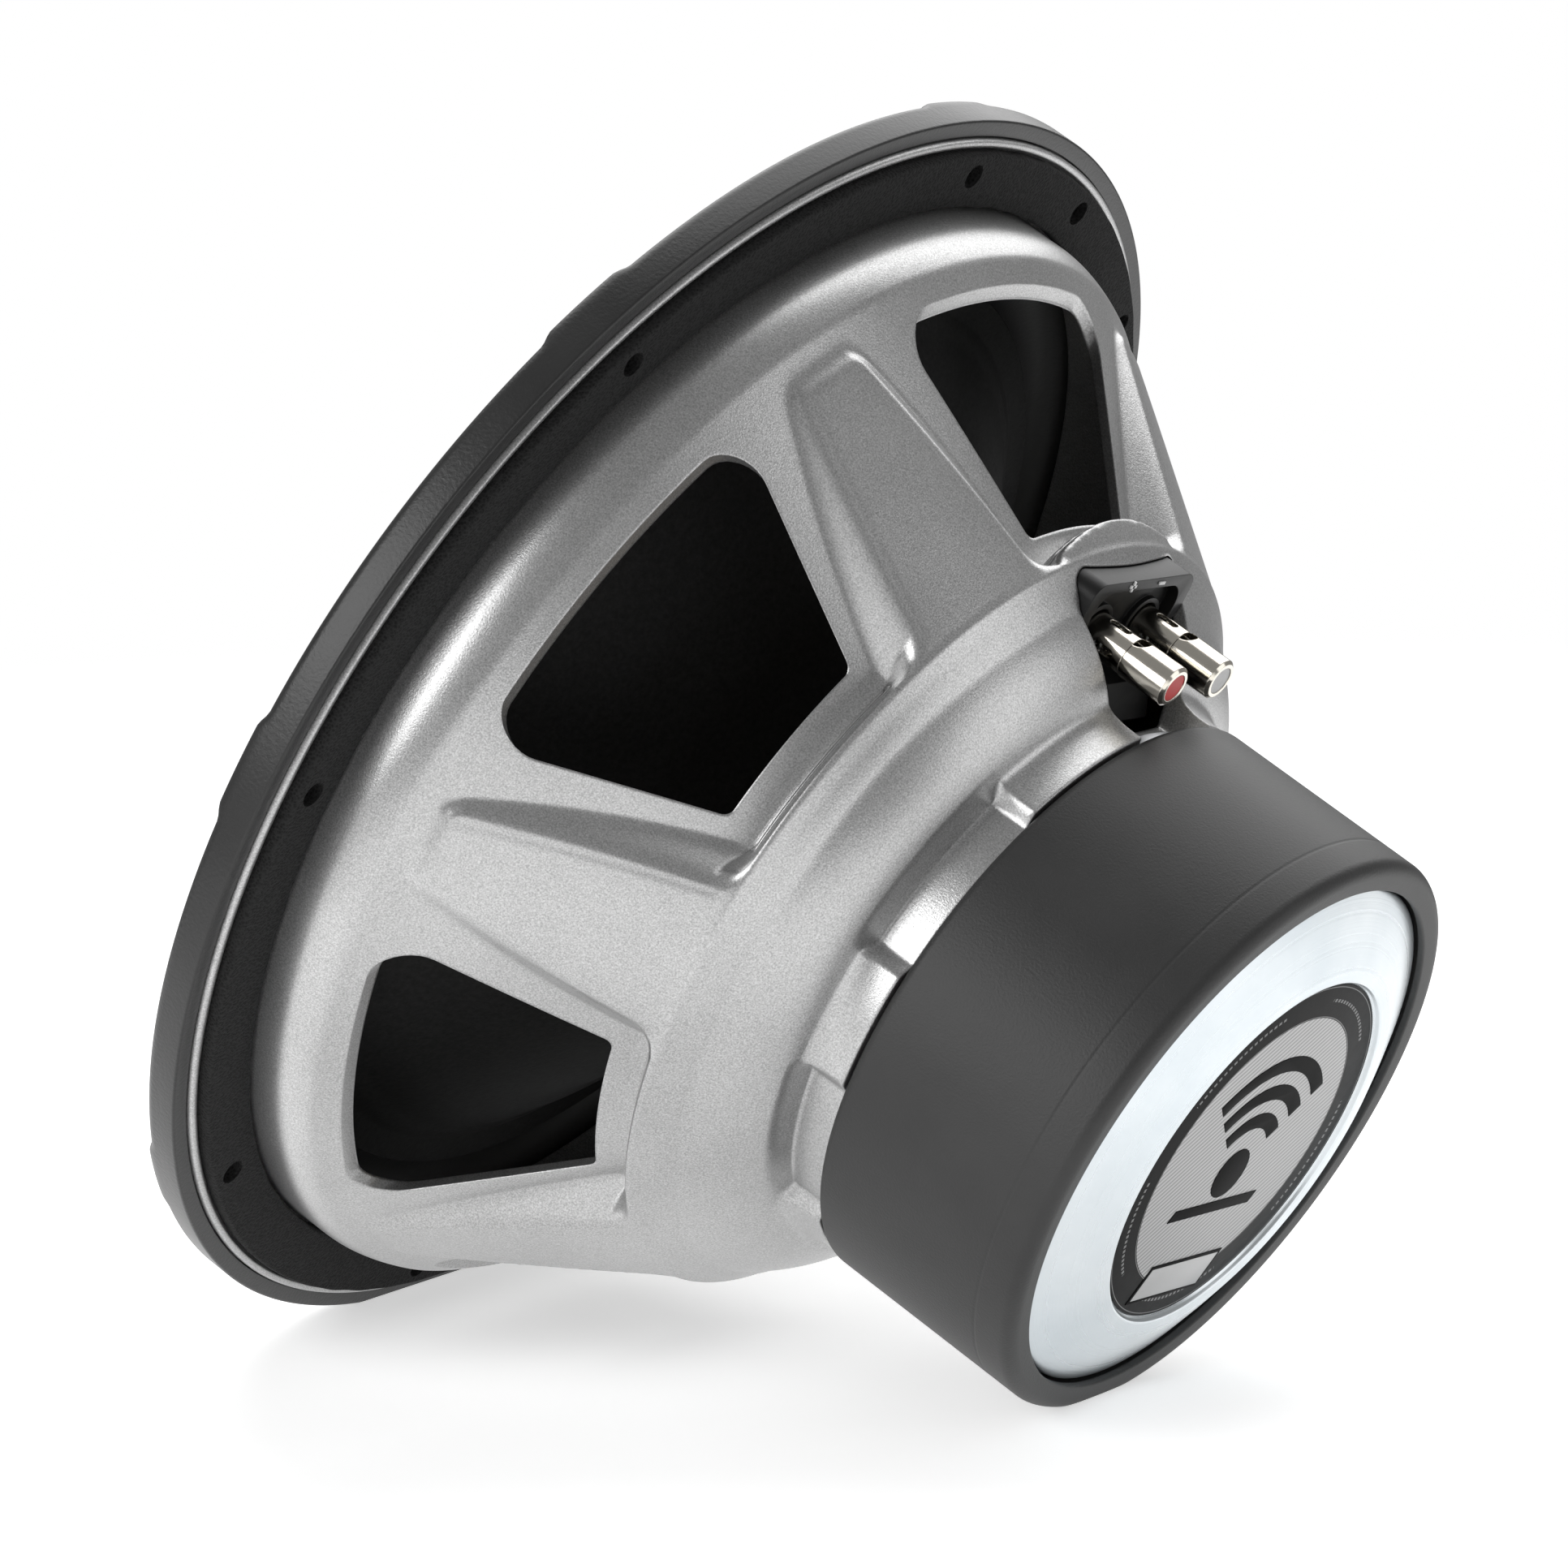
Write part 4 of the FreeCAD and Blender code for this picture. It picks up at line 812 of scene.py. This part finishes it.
def make_cone():
    def outline_points():
        front, back = [], []
        for step in range(61):
            share = step / 60
            radius = 33.4 + (113.5 - 33.4) * share
            ridge = 0.35 * math.sin(share * 9 * math.pi) if 0.15 < share < 0.95 else 0.0
            back.append((radius, 116.0 + (171.3 - 116.0) * share + ridge, 0))
            front.append((radius - 0.9, 118.8 + (173.1 - 118.8) * share + ridge, 0))
        edge = [(119.8, 171.3, 0.3), (119.8, 173.1, 0.3)]
        return [(32.0, 116.0, 0)] + back + edge + front[::-1] + [(32.0, 118.8, 0)]

    cone = lathe("cone_visual", outline_points(), PULP, 288, 3, 40.0)
    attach(cone, CONE)
    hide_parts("cone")


def make_dust_cap():
    outer, inner = [], []
    sphere = (52.0 ** 2 + 12.0 ** 2) / 24.0
    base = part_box("dust_cap")
    seat = base[0][2] / MM
    for step in range(25):
        radius = 52.0 * (1 - step / 24)
        outer.append((radius, seat + 12.0 - sphere + math.sqrt(sphere ** 2 - radius ** 2), 0))
        low = (sphere - 1.0) ** 2 - min(radius, 51.0) ** 2
        inner.append((min(radius, 51.0), max(seat + 0.1, seat + 12.0 - sphere + math.sqrt(low)), 0))
    cap = lathe("dust_cap_visual", outer + inner[::-1], PULP, 240, 3, 40.0)
    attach(cap, CONE)
    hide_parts("dust_cap")


def radial_blend(item):
    """Bake a piece's placement into its mesh."""
    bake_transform(item)


def make_surround():
    outer_roll, inner_roll = [], []
    for step in range(33):
        turn = math.pi * (1 - step / 32)
        outer_roll.append((129.0 + 10.2 * math.cos(turn), 173.9 + 9.2 * math.sin(turn), 0))
        inner_roll.append((129.0 + 9.1 * math.cos(turn), 173.1 + 9.0 * math.sin(turn), 0))
    corners = [(113.5, 173.1, 0.3), (113.5, 174.6, 0.6)] + outer_roll
    corners += [(144.6, 174.6, 0.4), (144.6, 173.1, 0.2)] + inner_roll[::-1]
    surround = lathe("surround_visual", corners, SURROUND, 360, 3, 45.0)
    radial_blend(surround)
    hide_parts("surround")


def make_spider():
    low, high = [], []
    for step in range(121):
        radius = 32.1 + (91.0 - 32.1) * step / 120
        inside = smooth(np.array(radius), 37.0, 40.0) * smooth(np.array(82.5 - radius), 0.0, 3.0)
        wave = 2.0 * (1 - math.cos((radius - 38.0) / 43.5 * 10 * math.pi)) * float(inside)
        level = 101.5 + min(wave, 4.0)
        low.append((radius, level, 0))
        high.append((radius, level + 0.8, 0))
    spider = lathe("spider_visual", low + high[::-1], CLOTH, 240, 3, 40.0)
    radial_blend(spider)
    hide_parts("spider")


def make_lead(word, side):
    """Tinsel lead of three strands twisted round a hanging path."""
    low = 95.2
    path = [
        Vector((side * 10.4, -69.6, low)), Vector((side * 10.4, -69.6, low - 4.5)),
        Vector((side * 10.6, -67.4, low - 8.6)), Vector((side * 11.0, -62.5, low - 11.2)),
        Vector((side * 11.3, -57.0, low - 12.3)), Vector((side * 11.0, -51.0, low - 11.0)),
        Vector((side * 10.4, -46.0, low - 8.6)), Vector((side * 9.6, -41.0, low - 4.6)),
        Vector((side * 8.9, -37.4, low - 1.3)),
    ]
    samples = []
    for index in range(len(path) - 1):
        before = path[max(index - 1, 0)]
        start, end = path[index], path[index + 1]
        after = path[min(index + 2, len(path) - 1)]
        for step in range(10):
            t = step / 10
            a = start * 2 + (end - before) * t
            b = (before * 2 - start * 5 + end * 4 - after) * t * t
            c = (start * 3 - before - end * 3 + after) * t ** 3
            samples.append((a + b + c) * 0.5)
    samples.append(path[-1])
    strands = []
    for strand in range(3):
        rings = []
        for index, point in enumerate(samples):
            ahead = samples[min(index + 1, len(samples) - 1)] - samples[max(index - 1, 0)]
            ahead.normalize()
            across = ahead.cross(Vector((1, 0, 0))).normalized()
            up = across.cross(ahead)
            twist = index * 0.55 + strand * 2 * math.pi / 3
            centre = point + (across * math.cos(twist) + up * math.sin(twist)) * 0.55
            for k in range(8):
                turn = k * math.pi / 4
                rings.append(centre + (across * math.cos(turn) + up * math.sin(turn)) * 0.6)
        strands.append(new_object("strand", rings, tube_faces(len(samples)), BRAID))
    lead = join(strands, f"tinsel_lead_{word}_visual")
    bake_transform(lead)
    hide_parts(f"tinsel_lead_{word}")


def make_spring(word, side):
    """Round wire coil at its terminal, built at one fixed length."""
    rings = []
    turns, steps, low, high = 6, 24, 80.7, 92.0
    total = turns * steps
    for index in range(total + 1):
        turn = 2 * math.pi * index / steps
        out = Vector((math.cos(turn), math.sin(turn), 0))
        level = low + (high - low) * index / total
        centre = Vector((side * TERMINAL_SPREAD, -TERMINAL_DISTANCE, level)) + out * 3.1
        for k in range(8):
            bend = k * math.pi / 4
            rings.append(centre + out * (0.35 * math.cos(bend)) + Vector((0, 0, 0.35 * math.sin(bend))))
    spring = new_object(f"terminal_spring_{word}_visual", rings, tube_faces(total + 1), STEEL)
    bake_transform(spring)
    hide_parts(f"terminal_spring_{word}")


def block_body():
    """Body of the terminal block: flat face outside the bend, sloping foot inside it."""
    bend, thick, slope, cheek = -77.0, 5.0, 0.766, 0.0003
    outline = []
    corners = block_outline()
    for (x, y), (next_x, next_y) in zip(corners, corners[1:] + corners[:1]):
        outline.append((x, y))
        if (y - bend) * (next_y - bend) < 0:
            share = (bend - y) / (next_y - y)
            outline.append((x + (next_x - x) * share, bend))
    count = len(outline)
    lower, upper = [], []
    for x, y in outline:
        past = max(0.0, y - bend)
        level = BLOCK_FACE - past * slope + cheek * past * x * x
        lower.append((x, y, level))
        upper.append((x, y, level + (2 * thick if y <= bend + 0.001 else thick)))
    points = lower + upper
    head = [i for i, (x, y) in enumerate(outline) if y <= bend + 0.001]
    foot = [i for i, (x, y) in enumerate(outline) if y >= bend - 0.001]
    start = next(k for k in range(len(head)) if (head[k] + 1) % count not in head) + 1
    head = head[start:] + head[:start]
    start = next((k for k in range(len(foot)) if (foot[k] + 1) % count not in foot), len(foot) - 1) + 1
    foot = foot[start:] + foot[:start]
    faces = [tuple(head), tuple(foot), tuple(i + count for i in head), tuple(i + count for i in foot)]
    faces += [(i, (i + 1) % count, count + (i + 1) % count, count + i) for i in range(count)]
    return new_object("block_body", points, faces, BLOCK)


def make_block():
    """Terminal block with its well, the sockets round the posts and the + and - marks."""
    body = block_body()
    sides, y = (-TERMINAL_SPREAD, TERMINAL_SPREAD), -TERMINAL_DISTANCE
    corners = [(92.7, -19.4, 5.5), (92.7, 19.4, 5.5), (71.0, 15.5, 2.0), (71.0, -15.5, 2.0)]
    well = at_terminals(rounded(corners, 8))
    cut(body, [prism("well", well, 60.0, 87.4, BLOCK)], BLOCK)
    plug = prism("plug", box_outline(0.0, -82.3, 38.0, 13.4), 88.0, 95.4, BLOCK, 0.4)
    pieces = [body, plug]
    pieces += [round_bar("socket", 6.5, 86.2, 88.6, x, y, BLOCK, 48) for x in sides]
    for piece in pieces:
        cut(piece, [round_bar("bore", 5.3, 80.0, 91.6, x, y, BLOCK, 48) for x in sides], BLOCK)
    whole = join(pieces, "terminal_block_visual")
    modifier = whole.modifiers.new("edge", "BEVEL")
    modifier.width = 0.5 * MM
    modifier.segments = 3
    modifier.limit_method = "ANGLE"
    modifier.angle_limit = math.radians(55)
    apply_modifiers(whole, BLOCK)
    marks = []
    for x, width, depth in ((-6.4, 2.6, 0.8), (-6.4, 0.8, 2.6), (6.4, 2.6, 0.8)):
        outline = box_outline(x, -94.0, width, depth)
        marks.append(prism("mark", outline, BLOCK_FACE - 0.35, BLOCK_FACE + 0.3, MARK, 0.06))
    marks = join(marks, "polarity_marks")
    finish_mesh(marks.data, MARK, 30.0)
    for item in (whole, marks):
        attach(item, FRAME)
        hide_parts("terminal_block")


def dress_cad_nodes():
    """Give the metal and plastic parts that keep their CAD shape their materials."""
    materials = {
        "rear_magnet": MAGNET, "front_magnet": MAGNET, "shorting_ring": ALUMINIUM, "top_plate": STEEL,
        "basket_screws": STEEL, "coil_former": ALUMINIUM, "voice_coil": winding(), "lead_collar": CARD,
        "terminal_block": BLOCK, "terminal_nuts": BRASS,
    }
    for word, insert in (("positive", RED), ("negative", GREY)):
        materials[f"terminal_post_{word}"] = NICKEL
        materials[f"terminal_sleeve_{word}"] = NICKEL
        materials[f"push_cap_{word}"] = NICKEL
        materials[f"cap_insert_{word}"] = insert
        materials[f"terminal_lug_{word}"] = BRASS
    for node, material in materials.items():
        mesh = bpy.data.objects[node].data
        mesh.materials.clear()
        mesh.materials.append(material)


# ---------------------------------------------------------------- floor, light and camera

CAMERA_PLACE = Vector((-1.533772, -0.644059, -0.585496))
CAMERA_RIGHT = Vector((0.526228, -0.428495, -0.734491))
CAMERA_UP = Vector((0.087438, -0.831913, 0.547975))
CAMERA_AHEAD = Vector((0.845836, 0.352582, 0.400309))


def floor_normal():
    """Up direction when the speaker lies on its trim ring and the rear of its boot."""
    lean = Vector((-0.061050, -0.880783, 0.470101)).xy.normalized()
    tilt = math.atan2(175.5 - 10.8, 160.0 - 72.3)
    return Vector((lean.x * math.sin(tilt), lean.y * math.sin(tilt), math.cos(tilt)))


def make_floor():
    up = floor_normal()
    flat = math.hypot(up.x, up.y)
    level = (0.1755 * up.z - 0.160 * flat) - 0.0005
    side = up.cross(CAMERA_AHEAD).normalized()
    front = up.cross(side)
    centre = up * level
    reach = 1.6
    mesh = bpy.data.meshes.new("floor")
    signs = ((-1, -1), (1, -1), (1, 1), (-1, 1))
    corners = [centre + side * sx * reach + front * sy * reach for sx, sy in signs]
    mesh.from_pydata([tuple(c) for c in corners], [], [(0, 1, 2, 3)])
    mesh.update()
    if mesh.polygons[0].normal.dot(up) < 0:
        mesh.flip_normals()
    floor = bpy.data.objects.new("floor", mesh)
    bpy.context.scene.collection.objects.link(floor)
    n = Nodes("pale_floor")
    n.surface(color=n.ramp(n.noise(3.0), [(0.3, 0.90), (0.7, 0.92)]), rough=0.9, specular=0.1)
    n.shader.inputs["Emission Color"].default_value = (1, 1, 1, 1)
    n.shader.inputs["Emission Strength"].default_value = 0.52
    far = n.add("ShaderNodeVectorMath", operation="LENGTH")
    n.link(n.place, far.inputs[0])
    fade = n.add("ShaderNodeMapRange")
    n.link(far.outputs["Value"], fade.inputs["Value"])
    fade.inputs["From Min"].default_value = 0.35
    fade.inputs["From Max"].default_value = 1.1
    behind = n.add("ShaderNodeNewGeometry").outputs["Backfacing"]
    clear = n.add("ShaderNodeBsdfTransparent")
    mix = n.add("ShaderNodeMixShader")
    n.link(n.math("MAXIMUM", fade.outputs["Result"], behind), mix.inputs[0])
    n.link(n.shader.outputs[0], mix.inputs[1])
    n.link(clear.outputs[0], mix.inputs[2])
    n.link(mix.outputs[0], n.tree.nodes["Material Output"].inputs["Surface"])
    mesh.materials.append(n.material)
    floor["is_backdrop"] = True


def area_light(name, place, target, size, power):
    light = bpy.data.lights.new(name, "AREA")
    light.shape = "DISK"
    light.size = size
    light.energy = power
    item = bpy.data.objects.new(name, light)
    item.location = place
    item.rotation_euler = (Vector(target) - Vector(place)).to_track_quat("-Z", "Y").to_euler()
    bpy.context.scene.collection.objects.link(item)


def make_light():
    up = floor_normal()
    middle = Vector((0, 0, 0.10))
    area_light("top", middle + up * 1.25 + CAMERA_RIGHT * 0.15 + CAMERA_AHEAD * 0.85, middle, 2.1, 25.0)
    area_light("left", middle - CAMERA_RIGHT * 1.2 + up * 0.45 - CAMERA_AHEAD * 0.9, middle, 1.1, 14.0)
    area_light("right", middle + CAMERA_RIGHT * 1.5 - CAMERA_AHEAD * 0.5 + up * 0.1, middle, 1.1, 3.6)
    world = bpy.data.worlds.new("studio")
    bpy.context.scene.world = world
    world.use_nodes = True
    tree = world.node_tree
    tree.nodes.clear()
    output = tree.nodes.new("ShaderNodeOutputWorld")
    seen = tree.nodes.new("ShaderNodeBackground")
    seen.inputs["Color"].default_value = (1, 1, 1, 1)
    seen.inputs["Strength"].default_value = 1.0
    lit = tree.nodes.new("ShaderNodeBackground")
    lit.inputs["Color"].default_value = (1, 1, 1, 1)
    lit.inputs["Strength"].default_value = 0.28
    path = tree.nodes.new("ShaderNodeLightPath")
    mix = tree.nodes.new("ShaderNodeMixShader")
    tree.links.new(path.outputs["Is Camera Ray"], mix.inputs[0])
    tree.links.new(lit.outputs[0], mix.inputs[1])
    tree.links.new(seen.outputs[0], mix.inputs[2])
    tree.links.new(mix.outputs[0], output.inputs[0])
    bpy.context.scene.view_settings.view_transform = "Standard"


def make_camera():
    data = bpy.data.cameras.new("camera")
    data.sensor_width = 36.0
    data.lens = 184.78
    data.clip_start = 0.05
    data.clip_end = 50.0
    camera = bpy.data.objects.new("camera", data)
    axes = Matrix((CAMERA_RIGHT, CAMERA_UP, -CAMERA_AHEAD)).transposed()
    camera.matrix_world = Matrix.Translation(CAMERA_PLACE) @ axes.to_4x4()
    bpy.context.scene.collection.objects.link(camera)
    bpy.context.scene.camera = camera


make_basket()
make_boot()
make_yoke()
make_label()
make_gasket()
make_trim()
make_cone()
make_dust_cap()
make_surround()
make_spider()
for word, side in (("positive", -1), ("negative", 1)):
    make_lead(word, side)
    make_spring(word, side)
make_block()
dress_cad_nodes()
make_floor()
make_light()
make_camera()


def plain(value):
    """Bounds as nested lists of numbers."""
    if hasattr(value, "__len__"):
        return [plain(item) for item in value]
    return float(value)


{"cad": plain(CAD_BOX), "visual": plain(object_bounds())}
